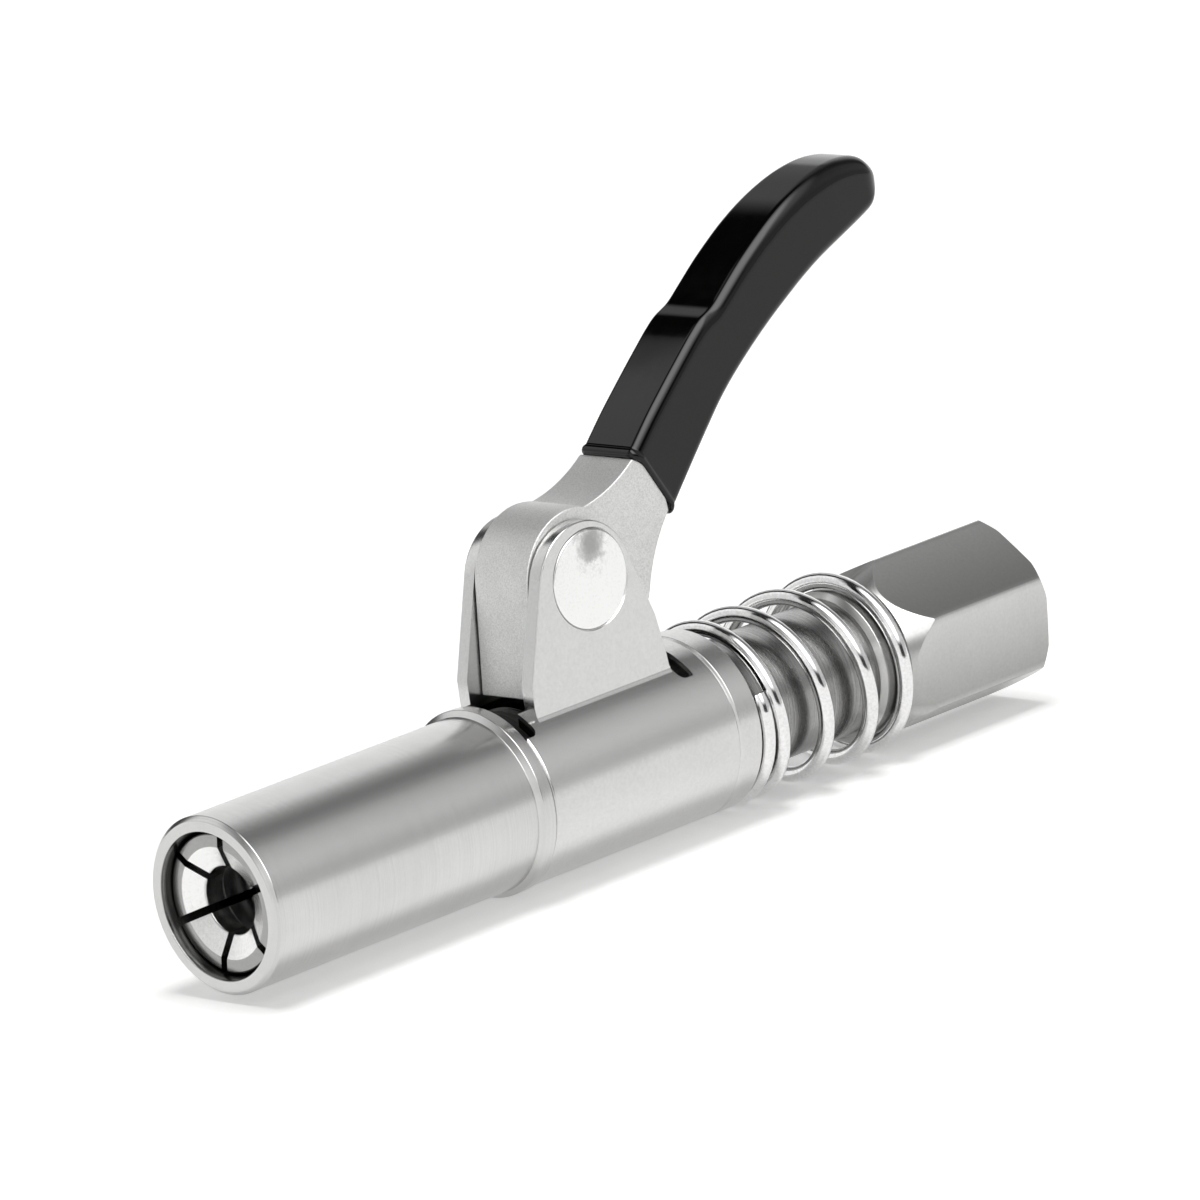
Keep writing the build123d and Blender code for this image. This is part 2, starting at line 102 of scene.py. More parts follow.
def smoothThrough(points, count):
    # a cubic between each two points, whose slope at a point is that of the line joining its
    # neighbours, sampled evenly along the chords
    points = np.asarray(points, float)
    padded = np.vstack([2 * points[0] - points[1], points, 2 * points[-1] - points[-2]])
    chords = walkedAlong(points)
    where = np.linspace(0, chords[-1], count)
    part = np.clip(np.searchsorted(chords, where, side="right") - 1, 0, len(points) - 2)
    t = ((where - chords[part]) / (chords[part + 1] - chords[part]))[:, None]
    a, b, c, d = (padded[part + k] for k in range(4))
    return 0.5 * (2 * b + (c - a) * t + (2 * a - 5 * b + 4 * c - d) * t**2 + (3 * b - a - 3 * c + d) * t**3)


def arcThrough(start, middle, end, count):
    # the circle through three points, walked from the first to the last
    (ax, ay), (bx, by), (cx, cy) = start, middle, end
    d = 2 * (ax * (by - cy) + bx * (cy - ay) + cx * (ay - by))
    a2, b2, c2 = ax**2 + ay**2, bx**2 + by**2, cx**2 + cy**2
    centre = np.array([a2 * (by - cy) + b2 * (cy - ay) + c2 * (ay - by),
                       a2 * (cx - bx) + b2 * (ax - cx) + c2 * (bx - ax)]) / d
    angles = np.arctan2(*(np.array([start, middle, end]) - centre).T[::-1])
    toMiddle = (angles[1] - angles[0] + np.pi) % (2 * np.pi) - np.pi
    toEnd = (angles[2] - angles[1] + np.pi) % (2 * np.pi) - np.pi
    radius = np.hypot(*(np.array(start) - centre))
    walked = angles[0] + (toMiddle + toEnd) * np.linspace(0, 1, count)
    return centre + radius * np.stack([np.cos(walked), np.sin(walked)], -1)


def joined(*runs):
    # runs of points end to end, with a shared point kept once
    out = [np.asarray(runs[0], float)]
    for run in runs[1:]:
        run = np.asarray(run, float)
        out.append(run[1:] if np.allclose(run[0], out[-1][-1], atol=1e-6) else run)
    loop = np.vstack(out)
    return loop[:-1] if np.allclose(loop[0], loop[-1], atol=1e-6) else loop


def evenly(loop, spacing):
    # the same closed line with its points a set spacing apart
    line = np.vstack([loop, loop[:1]])
    length = walkedAlong(line)[-1]
    return pointsAt(line, np.linspace(0, length, int(length / spacing) + 1)[:-1])


def outwards(loop):
    # unit normals of a closed outline, pointing out of it
    step = np.roll(loop, -1, 0) - np.roll(loop, 1, 0)
    area = (loop[:, 0] * np.roll(loop[:, 1], -1) - np.roll(loop[:, 0], -1) * loop[:, 1]).sum()
    normal = np.stack([step[:, 1], -step[:, 0]], -1) * np.sign(area)
    return normal / np.linalg.norm(normal, axis=1, keepdims=True)


def aboutX(station, radius, angle):
    # points from their place along X, their radius and their angle, which runs from +Z to -Y
    station, radius, angle = np.broadcast_arrays(station, radius, angle)
    return np.stack([station, -radius * np.sin(angle), radius * np.cos(angle)], -1)


def turnedAboutX(profile, sides):
    # every (station, radius) point goes once round X
    profile = np.asarray(profile, float)
    return aboutX(profile[..., :1], profile[..., 1:], np.linspace(0, 2 * np.pi, sides, endpoint=False))


def turnedRows(rows, sides, steps=4):
    # rows of (station, radius, size of the rounded edge), turned about X
    rows = np.array(rows, float)
    return turnedAboutX(roundCorners(rows[:, :2], rows[:, 2], steps), sides)


def plateGrid(outline, halfWidth, edge, steps=3):
    # an XZ outline carried across Y; near each face it steps in along its normals by
    # edge * (1 - cos), while Y goes out by edge * sin, which rounds the rim
    bend = np.linspace(0, np.pi / 2, steps + 1)
    inward = edge * (1 - np.cos(bend))
    across = halfWidth - edge + edge * np.sin(bend)
    inward = np.r_[inward[::-1], inward]
    across = np.r_[-across[::-1], across]
    normal = outwards(outline)
    flat = outline[None] - normal[None] * inward[:, None, None]
    return np.stack([flat[..., 0], np.broadcast_to(across[:, None], flat.shape[:2]), flat[..., 1]], -1)


def threaded(grid, start, end, radius, pitch, depth, inner=False):
    # a V groove that climbs one pitch per turn: depth times a triangle wave of
    # (station / pitch - angle / turn), whose peaks and valleys are cut flat, faded over half a
    # pitch at both ends
    angle = np.arctan2(-grid[..., 1], grid[..., 2])
    size = np.hypot(grid[..., 1], grid[..., 2])
    wave = np.abs(((grid[..., 0] / pitch - angle / (2 * np.pi)) % 1) * 2 - 1)
    wave = np.clip(wave * 1.35 - 0.12, 0, 1)
    fade = np.clip(np.minimum(grid[..., 0] - start, end - grid[..., 0]) / (pitch / 2), 0, 1)
    on = (np.abs(size - radius) < 0.01) & (fade > 0)
    change = np.where(on, wave * fade * depth * (1 if inner else -1), 0)
    scale = (size + change) / np.maximum(size, 1e-9)
    grid = grid.copy()
    grid[..., 1] *= scale
    grid[..., 2] *= scale
    return grid


def rowsBetween(profile, radius, spacing):
    # extra profile points on the straight at this radius, so that a thread has rows to shape
    out = []
    for here, after in zip(profile, np.roll(profile, -1, 0)):
        out.append(here)
        level = abs(here[1] - radius) < 1e-6 and abs(after[1] - radius) < 1e-6
        if level and abs(after[0] - here[0]) > 2 * spacing:
            count = int(abs(after[0] - here[0]) / spacing)
            steps = np.linspace(0, 1, count + 1)[1:-1, None]
            out.extend(here + (after - here) * steps)
    return np.array(out)


# mesh helpers

def meshOf(name, patches, caps=()):
    # each patch is (grid of points, closed along rows, closed along columns); a cap is one flat
    # face on a loop of points
    points, faces, start = [], [], 0
    for grid, closeRows, closeColumns in patches:
        rows, columns = grid.shape[:2]
        index = start + np.arange(rows * columns).reshape(rows, columns)
        index = np.vstack([index, index[:1]]) if closeRows else index
        index = np.hstack([index, index[:, :1]]) if closeColumns else index
        quads = np.stack([index[:-1, :-1], index[1:, :-1], index[1:, 1:], index[:-1, 1:]], -1)
        faces.extend(quads.reshape(-1, 4).tolist())
        points.append(grid.reshape(-1, 3))
        start += rows * columns
    for loop in caps:
        faces.append(list(range(start, start + len(loop))))
        points.append(loop)
        start += len(loop)
    mesh = bpy.data.meshes.new(name)
    mesh.from_pydata(np.vstack(points) * mm, [], faces)
    tidyMesh(mesh)
    return mesh


def cappedMesh(name, grid):
    # a tube of rows with a flat face on its first and its last row
    return meshOf(name, [(grid, False, True)], [grid[0], grid[-1]])


def prismMesh(name, loop, ends, axis):
    # a flat loop carried straight along an axis from one end to the other
    loop = np.asarray(loop, float)
    return cappedMesh(name, np.stack([np.insert(loop, axis, end, axis=1) for end in ends]))


def cylinderMesh(name, profile, sides):
    # a profile of (station, radius) turned about X, its first and last circle filled
    return cappedMesh(name, turnedAboutX(profile, sides))


def tidyMesh(mesh):
    # doubled points become one, and all faces point outwards
    work = bmesh.new()
    work.from_mesh(mesh)
    bmesh.ops.remove_doubles(work, verts=work.verts, dist=1e-7)
    bmesh.ops.dissolve_degenerate(work, edges=work.edges, dist=1e-8)
    bmesh.ops.recalc_face_normals(work, faces=work.faces)
    work.to_mesh(mesh)
    work.free()


def addPiece(name, mesh, body, node, slotName, finish, sharp=38):
    # a finished piece: smooth but for edges sharper than this many degrees, with flats that stay
    # flat to the eye
    piece = bpy.data.objects.new(name, mesh)
    bpy.context.scene.collection.objects.link(piece)
    mesh.shade_smooth()
    mesh.set_sharp_from_angle(angle=np.radians(sharp))
    normals = piece.modifiers.new("flatNormals", "WEIGHTED_NORMAL")
    normals.keep_sharp = True
    normals.weight = 60
    mesh.materials.append(materials[finish])
    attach(piece, body)
    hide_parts(node)
    return piece


def addRing(name, grid, *facts):
    # a piece from a grid that closes both ways, such as a turned one with a bore
    addPiece(name, meshOf(name, [(grid, True, True)]), *facts)


def cutAndJoin(name, base, steps):
    # solids joined to or cut from the base one after another; returns the finished mesh
    helpers = []
    body = bpy.data.objects.new(name, base)
    bpy.context.scene.collection.objects.link(body)
    for operation, mesh in steps:
        helper = bpy.data.objects.new("helper", mesh)
        bpy.context.scene.collection.objects.link(helper)
        change = body.modifiers.new(operation, "BOOLEAN")
        change.operation = operation
        change.solver = "EXACT"
        change.object = helper
        helpers.append(helper)
    bpy.context.view_layer.update()
    finished = bpy.data.meshes.new_from_object(body.evaluated_get(bpy.context.evaluated_depsgraph_get()))
    for helper in helpers + [body]:
        bpy.data.objects.remove(helper)
    tidyMesh(finished)
    return finished


# material helpers

def linear(colour):
    # sRGB hex to the linear values that a shader takes
    parts = [int(colour[i:i + 2], 16) / 255 for i in (1, 3, 5)]
    return [c / 12.92 if c <= 0.04045 else ((c + 0.055) / 1.055) ** 2.4 for c in parts] + [1.0]


def addNode(tree, kind, settings=None, stops=(), **inputs):
    # one node with its settings; stops are a colour ramp's places, each with a tone or a colour; an
    # input is named, or i and its number, and it is a value or (node, output) to link from
    node = tree.nodes.new(kind)
    for key, value in (settings or {}).items():
        setattr(node, key, value)
    while stops and len(node.color_ramp.elements) < len(stops):
        node.color_ramp.elements.new(0.5)
    for number, (place, colour) in enumerate(stops):
        element = node.color_ramp.elements[number]
        element.position = place
        element.color = linear(colour) if isinstance(colour, str) else (colour, colour, colour, 1)
    for key, value in inputs.items():
        isNumbered = key[0] == "i" and key[1:].isdigit()
        socket = node.inputs[int(key[1:]) if isNumbered else key.replace("_", " ")]
        if isinstance(value, tuple) and len(value) == 2 and isinstance(value[0], bpy.types.Node):
            tree.links.new(value[0].outputs[value[1]], socket)
        else:
            socket.default_value = value
    return node


def newMaterial(name):
    material = bpy.data.materials.new(name)
    material.use_nodes = True
    material.node_tree.nodes.clear()
    return material, material.node_tree


# roughness varies by spread; rings is the width of a tool ring and grain the size of the grain,
# both in mm, and ringShare says how much of the pattern is rings; the grain is drawn coarser than
# a real plate's, so that it shows. The tones by radius are painted shade, listed by the distance from
# the axis in mm, which darken bores, hollows and the jaws' face, and the tones by flat paint shade across
# each flat of the hexagon. A noise's scale is 1000 over its size in mm, since one unit of Object coordinates
# is a metre
metalFinishes = {
    # turned steel with a satin nickel plate: soft wide reflections, and the tool's fine rings
    # just show through the plate as faint streaks round the part; inside the mouth's bore, within 6.72 mm
    # of the axis, the colour is painted dark as painted shade
    "satinNickelTurned": dict(colour="#D0D0CF", dark="#C4C4C3", roughness=0.23, spread=0.05,
                              rings=0.16, ringShare=0.75, grain=0.35, bump=0.014,
                              shadeByRadius=[(6.72, "#5A5A59"), (6.86, "#FFFFFF")]),
    # the same plate over milled and linished steel: an even satin with no rings; within 8.1 mm of the
    # axis, in the bore, the slot and the reliefs, the colour is painted dark as painted shade
    "satinNickelPlain": dict(colour="#D2D2D1", dark="#CBCBCA", roughness=0.24, spread=0.04,
                             rings=0.2, ringShare=0.0, grain=0.30, bump=0.006,
                             shadeByRadius=[(8.1, "#5A5A59"), (8.3, "#FFFFFF")]),
    # bar steel, finely turned and plated: a little duller than the sleeve; each flat is painted white near
    # one corner and darker towards the other, as painted shade
    "satinNickelHex": dict(colour="#CDCDCC", dark="#C3C3C2", roughness=0.32, spread=0.04,
                           rings=0.22, ringShare=0.25, grain=0.30, bump=0.010,
                           shadeByFlat=dict(turn=6.5, far="#CDCDCC", corner="#E8E8E8", edge=0.06)),
    # turned stem that works in the grease: darker, with plain tool rings
    "oiledTurnedStem": dict(colour="#A8A8A7", dark="#686867", roughness=0.26, spread=0.12,
                            rings=0.2, ringShare=0.8, grain=0.25, bump=0.1),
    # screw thread left from the die, painted dark all over as painted shade for the shadow under the lever's
    # foot
    "paintedShadeThread": dict(colour="#3A3A39", dark="#1C1C1B", roughness=0.4, spread=0.14,
                        rings=0.2, ringShare=0.6, grain=0.2, bump=0.1),
    # sintered lever, blasted and plated: a fine sandy matte
    "sandedNickelLever": dict(colour="#E0E0DF", dark="#C6C6C5", roughness=0.56, spread=0.08,
                              rings=0.2, ringShare=0.0, grain=0.15, bump=0.22),
    # hardened pin, ground on its end faces and plated bright
    "groundPinSteel": dict(colour="#F1F1F0", dark="#E6E6E5", roughness=0.20, spread=0.06,
                           rings=0.12, ringShare=0.0, grain=0.25, bump=0.02),
    # hardened jaw steel, with painted shade by radius: the face is painted grey and the throat darker,
    # while the funnel keeps the steel's own bright colour
    "hardenedJawSteel": dict(colour="#F4F4F3", dark="#E2E2E1", roughness=0.22, spread=0.08,
                             rings=0.18, ringShare=0.4, grain=0.22, bump=0.03,
                             shadeByRadius=[(3.16, "#D0D0CF"), (3.3, "#FFFFFF"), (5.12, "#FFFFFF"),
                                       (5.2, "#ABABAA")]),
    # drawn spring wire, plated bright: mirror-like, with faint streaks
    "drawnSpringWire": dict(colour="#ECECEC", dark="#DADAD9", roughness=0.11, spread=0.05,
                            rings=0.2, ringShare=0.0, grain=0.25, bump=0.012),
}


# what all metals have in common: how many streaks a tool ring has per metre round the part, how
# wide the slow clouds are in mm, the clouds' part of the tone, and the pattern's height in mm
metalPattern = {"streaks": 18.0, "cloudSize": 9.0, "cloudShare": 0.35, "height": 0.05}


def metalMaterial(name):
    values, pattern = metalFinishes[name], metalPattern
    material, tree = newMaterial(name)
    where = addNode(tree, "ShaderNodeTexCoord")
    # rings lie across X, so the noise is stretched round the part
    mapped = addNode(tree, "ShaderNodeMapping", Vector=(where, "Object"),
                     Scale=(1000 / values["rings"], pattern["streaks"], pattern["streaks"]))
    rings = addNode(tree, "ShaderNodeTexNoise", Vector=(mapped, "Vector"), Scale=1.0, Detail=3.0,
                    Roughness=0.6)
    grain = addNode(tree, "ShaderNodeTexNoise", Vector=(where, "Object"), Scale=1000 / values["grain"],
                    Detail=2.0, Roughness=0.55)
    cloud = addNode(tree, "ShaderNodeTexNoise", Vector=(where, "Object"), Scale=1000 / pattern["cloudSize"],
                    Detail=4.0, Roughness=0.6)
    asNumber = {"data_type": "FLOAT"}
    streaks = addNode(tree, "ShaderNodeMix", asNumber, i0=values["ringShare"], i2=(grain, 0), i3=(rings, 0))
    tone = addNode(tree, "ShaderNodeMix", asNumber, i0=pattern["cloudShare"], i2=(streaks, 0), i3=(cloud, 0))
    colour = addNode(tree, "ShaderNodeValToRGB", i0=(tone, 0),
                     stops=[(0.32, values["dark"]), (0.62, values["colour"])])
    if name == "groundPinSteel":
        colour = pinStain(tree, where, colour)
    # painted shade: the tones by radius and by flat multiply into the colour
    for key, paintShadeWith in (("shadeByRadius", paintedShadeByRadius), ("shadeByFlat", paintedShadeByFlat)):
        if key in values:
            tones = paintShadeWith(tree, where, values[key])
            colour = addNode(tree, "ShaderNodeMixRGB", {"blend_type": "MULTIPLY"}, i0=1.0, i1=(colour, 0),
                             i2=(tones, 0))
    half = values["spread"] / 2
    rough = addNode(tree, "ShaderNodeMapRange", i0=(tone, 0), i1=0.3, i2=0.7, i3=values["roughness"] + half,
                    i4=values["roughness"] - half)
    bump = addNode(tree, "ShaderNodeBump", Height=(streaks, 0), Strength=values["bump"],
                   Distance=pattern["height"] * mm)
    shader = addNode(tree, "ShaderNodeBsdfPrincipled", Base_Color=(colour, 0), Roughness=(rough, 0),
                     Metallic=1.0, Normal=(bump, 0))
    addNode(tree, "ShaderNodeOutputMaterial", Surface=(shader, 0))
    return material


def paintedShadeByRadius(tree, where, tones):
    # painted shade that changes with the distance from the coupler's axis, darker in bores and hollows; a
    # ramp's full length is 10 mm
    across = addNode(tree, "ShaderNodeVectorMath", {"operation": "MULTIPLY"}, i0=(where, "Object"),
                     i1=(0, 100, 100))
    radius = addNode(tree, "ShaderNodeVectorMath", {"operation": "LENGTH"}, i0=(across, 0))
    return addNode(tree, "ShaderNodeValToRGB", i0=(radius, "Value"),
                   stops=[(r / 10, tint) for r, tint in tones])


def paintedShadeByFlat(tree, where, values):
    # painted shade: each flat is painted white near one corner and darker towards the other, dimmer
    # right at its corners; the angle about X counts in sixths of a turn from the hexagon's first corner
    apart = addNode(tree, "ShaderNodeSeparateXYZ", i0=(where, "Object"))
    front = addNode(tree, "ShaderNodeMath", {"operation": "MULTIPLY"}, i0=(apart, "Y"), i1=-1.0)
    turn = addNode(tree, "ShaderNodeMath", {"operation": "ARCTAN2"}, i0=(front, 0), i1=(apart, "Z"))
    turn = addNode(tree, "ShaderNodeMath", {"operation": "MULTIPLY_ADD"}, i0=(turn, 0), i1=3 / np.pi,
                   i2=-values["turn"] / 60)
    share = addNode(tree, "ShaderNodeMath", {"operation": "FRACT"}, i0=(turn, 0))
    corner, edge = values["corner"], values["edge"]
    return addNode(tree, "ShaderNodeValToRGB", i0=(share, 0),
                   stops=[(0.0, corner), (edge, "#FFFFFF"), (1 - edge, values["far"]), (1.0, corner)])


# a soft dark smudge near the top of the pin's face, in mm along X and Z
smudge = {
    "place": (-53.6, 20.94), "reach": (1.0, 2.9), "fade": (0.2, 1.25), "squash": 0.85, "rub": 0.9,
    "colour": "#6E6E6D", "depth": 0.72,
}


def pinStain(tree, where, colour):
    # the smudge's share falls smoothly from its depth to none as the distance from its place,
    # divided by its reach, grows through the two values of fade
    v = smudge
    x, z = np.array(v["place"]) * mm
    moved = addNode(tree, "ShaderNodeMapping", Vector=(where, "Object"),
                    Location=(-x, 0, -z * v["squash"]), Scale=(1, 0, v["squash"]))
    away = addNode(tree, "ShaderNodeVectorMath", {"operation": "LENGTH"}, i0=(moved, "Vector"))
    # fine noise breaks its edge up
    rub = addNode(tree, "ShaderNodeTexNoise", Vector=(where, "Object"), Scale=1000 / v["rub"], Detail=5.0,
                  Roughness=0.75)
    edge = addNode(tree, "ShaderNodeMapRange", i0=(rub, 0), i1=0.3, i2=0.7, i3=v["reach"][0] * mm,
                   i4=v["reach"][1] * mm)
    ratio = addNode(tree, "ShaderNodeMath", {"operation": "DIVIDE"}, i0=(away, "Value"), i1=(edge, 0))
    fade = addNode(tree, "ShaderNodeMapRange", {"interpolation_type": "SMOOTHSTEP"}, i0=(ratio, 0),
                   i1=v["fade"][0], i2=v["fade"][1], i3=v["depth"], i4=0.0)
    return addNode(tree, "ShaderNodeMixRGB", i0=(fade, 0), i1=(colour, 0), i2=linear(v["colour"]))


def dippedVinyl():
    # black PVC that the lever was dipped in: glossy and deep black, with the faint waviness of a
    # cured dip; its plasticiser keeps the mirror image weaker than on hard plastic
    material, tree = newMaterial("dippedVinylBlack")
    where = addNode(tree, "ShaderNodeTexCoord")
    # the dip's waves are 5 mm wide, its marks 1.6 mm
    wave = addNode(tree, "ShaderNodeTexNoise", Vector=(where, "Object"), Scale=1000 / 5.0, Detail=1.0,
                   Roughness=0.4)
    marks = addNode(tree, "ShaderNodeTexNoise", Vector=(where, "Object"), Scale=1000 / 1.6, Detail=4.0,
                    Roughness=0.7)
    colour = addNode(tree, "ShaderNodeValToRGB", i0=(marks, 0), stops=[(0.35, "#030303"), (0.75, "#060606")])
    rough = addNode(tree, "ShaderNodeMapRange", i0=(marks, 0), i1=0.35, i2=0.75, i3=0.08, i4=0.12)
    bump = addNode(tree, "ShaderNodeBump", Height=(wave, 0), Strength=0.03, Distance=0.3 * mm)
    shader = addNode(tree, "ShaderNodeBsdfPrincipled", Base_Color=(colour, 0), Roughness=(rough, 0),
                     IOR=1.46, Specular_IOR_Level=0.4, Normal=(bump, 0))
    addNode(tree, "ShaderNodeOutputMaterial", Surface=(shader, 0))
    return material


def mouldedRubber():
    # oil-proof moulded rubber, wet with a film of grease: black with soft shine
    material, tree = newMaterial("mouldedSealRubber")
    where = addNode(tree, "ShaderNodeTexCoord")
    # the mould's blasted grain, drawn as coarse as 0.4 mm so that it shows
    grain = addNode(tree, "ShaderNodeTexNoise", Vector=(where, "Object"), Scale=1000 / 0.4, Detail=3.0,
                    Roughness=0.6)
    colour = addNode(tree, "ShaderNodeValToRGB", i0=(grain, 0), stops=[(0.3, "#101010"), (0.7, "#1B1A19")])
    rough = addNode(tree, "ShaderNodeMapRange", i0=(grain, 0), i1=0.3, i2=0.7, i3=0.10, i4=0.24)
    bump = addNode(tree, "ShaderNodeBump", Height=(grain, 0), Strength=0.12, Distance=0.05 * mm)
    shader = addNode(tree, "ShaderNodeBsdfPrincipled", Base_Color=(colour, 0), Roughness=(rough, 0),
                     IOR=1.52, Normal=(bump, 0))
    addNode(tree, "ShaderNodeOutputMaterial", Surface=(shader, 0))
    return material


materials = {name: metalMaterial(name) for name in metalFinishes}
materials["dippedVinylBlack"] = dippedVinyl()
materials["mouldedSealRubber"] = mouldedRubber()
print("materials made:", len(materials))


# nose sleeve: closing cone at the mouth, bore over the jaws, flange and threaded spigot
noseSleeve = {
    "face": -99.5, "faceBevel": 0.4, "mouthRadius": 6.8, "coneStart": -99.206, "coneEnd": -95.474,
    "landRadius": 5.8, "landLength": 0.8, "runOut": 0.8, "boreRadius": 6.6, "noseRadius": 8.2,
    "flangeFront": -67.5, "flangeRise": 0.4, "flangeRear": -65.6, "flangeBevel": 0.3, "flangeRadius": 8.75,
    "spigotEnd": -61.6, "spigotRadius": 7.5, "threadPitch": 0.8, "threadDepth": 0.38, "sides": 160,
}


def makeNoseSleeve():
    # one closed profile turned about X, from the mouth through the bore and back outside
    v = noseSleeve
    landEnd = v["coneEnd"] + v["landLength"]
    grid = turnedRows([
        (v["face"], v["mouthRadius"], 0.1), (v["coneStart"], v["mouthRadius"], 0.1),
        (v["coneEnd"], v["landRadius"], 0.1), (landEnd, v["landRadius"], 0.1),
        (landEnd + v["runOut"], v["boreRadius"], 0.1), (v["flangeRear"], v["boreRadius"], 0),
        (v["flangeRear"], v["flangeRadius"] - v["flangeBevel"], 0.06),
        (v["flangeRear"] - v["flangeBevel"], v["flangeRadius"], 0.1),
        (v["flangeFront"] + v["flangeRise"], v["flangeRadius"], 0.12),
        (v["flangeFront"], v["noseRadius"], 0.05), (v["face"] + v["faceBevel"], v["noseRadius"], 0.12),
        (v["face"], v["noseRadius"] - v["faceBevel"], 0.12),
    ], v["sides"])
    addRing("nose_sleeve_body", grid, "sleeve", "nose_sleeve", "sleeve_nickel", "satinNickelTurned")
    # the threaded spigot behind the flange, seen in the slot under the lever's foot; its dark colour is
    # painted shade
    profile = roundCorners(
        [(v["flangeRear"], v["boreRadius"]), (v["spigotEnd"], v["boreRadius"]),
         (v["spigotEnd"], v["spigotRadius"]), (v["flangeRear"], v["spigotRadius"])], [0, 0.05, 0.1, 0])
    profile = rowsBetween(profile, v["spigotRadius"], v["threadPitch"] / 8)
    grid = threaded(turnedAboutX(profile, v["sides"]), v["flangeRear"], v["spigotEnd"], v["spigotRadius"],
                    v["threadPitch"], v["threadDepth"])
    addRing("nose_sleeve_thread", grid, "sleeve", "nose_sleeve", "sleeve_nickel", "paintedShadeThread")


makeNoseSleeve()

# yoke: slotted tube with two ears, relief cuts at both ends of the slot, a hole for the pin;
# cutters reach cutPast beyond a face or up to their own top, and the creases lie a sink deeper
# than tangent
pivot = np.array([-54.18, 17.78])


def aboutPivot(grid):
    # a grid turned about X, laid across Y and moved to the pin's axis
    return grid[..., [1, 0, 2]] + np.array([pivot[0], 0, pivot[1]])


yoke = {
    "front": -65.6, "rear": -42.1, "radius": 8.6, "bore": 7.2, "threadRadius": 7.5, "spigotIn": 4.0,
    "collarIn": 1.9, "endRound": 0.24, "earGap": 7.1, "earThickness": 1.43, "earRound": 5.75,
    "earRoundBack": 0.6, "earRoundDown": 0.3, "frontFoot": 8.85, "frontRise": 1.4, "rearFoot": 8.0,
    "rearRise": 3.9, "rearLean": 0.7, "earRoot": 3.6, "slotEnd": -44.3, "reliefHalf": 6.0, "frontRelief": 1.6,
    "rearRelief": 1.6, "frontReliefRound": 0.7, "rearReliefRound": 0.72, "reliefFloor": 4.464, "crease": 0.8,
    "pinHole": 4.57, "holeEdge": 0.13, "holeCut": 9.0, "rim": 0.18, "cutPast": 1.0, "slotTop": 40.0,
    "reliefTop": 30.0, "sink": 0.012, "sides": 144,
}


def tangentTo(centre, radius, point, side):
    # where a line from the point touches the circle
    away = np.subtract(point, centre)
    angle = np.arctan2(away[1], away[0]) + side * np.arccos(radius / np.hypot(*away))
    return np.add(centre, radius * np.array([np.cos(angle), np.sin(angle)]))


def earOutline():
    # seen from the side: an arc round the pin, and from its ends tangent lines down to both feet
    v = yoke
    top = (pivot[0] - v["earRoundBack"], pivot[1] - v["earRoundDown"])
    front, rear = pivot[0] - v["frontFoot"], pivot[0] + v["rearFoot"]
    frontFoot = (front, v["radius"] + v["frontRise"])
    rearFoot = (rear - v["rearLean"], v["radius"] + v["rearRise"])
    frontTouch = tangentTo(top, v["earRound"], frontFoot, -1)
    rearTouch = tangentTo(top, v["earRound"], rearFoot, 1)
    # the ear's root goes on into the tube, where the bore cuts it off
    return joined(
        arcThrough(frontTouch, (top[0], top[1] + v["earRound"]), rearTouch, 60),
        [rearTouch, rearFoot, (rear, v["radius"]), (rear + 0.5, v["earRoot"]), (front + 0.2, v["earRoot"]),
         (front, v["radius"] - 0.6), frontFoot, frontTouch],
    )


def creaseMesh(side):
    # the fillet between ear and tube: an arc tangent to both, sunk a little so that it meets
    # them cleanly
    v = yoke
    outer = v["earGap"] / 2 + v["earThickness"]
    centreY = outer + v["crease"] - v["sink"]
    centreZ = np.sqrt((v["radius"] + v["crease"] - v["sink"]) ** 2 - centreY**2)
    bend = np.linspace(np.pi, 2 * np.pi + np.arctan2(-centreZ, -centreY), 9)
    arc = np.stack([centreY + v["crease"] * np.cos(bend), centreZ + v["crease"] * np.sin(bend)], -1)
    # the section's other corners lie within the ear and the tube's wall
    inside, low = outer - 0.9, arc[-1, 1] - 1.2
    section = np.vstack([arc, [[arc[-1, 0] - 0.4, low], [inside, low], [inside, arc[0, 1]]]])
    stations = (pivot[0] - v["frontFoot"] + 0.03, pivot[0] + v["rearFoot"] + 0.12)
    return prismMesh("crease", section * [side, 1], stations, axis=0)


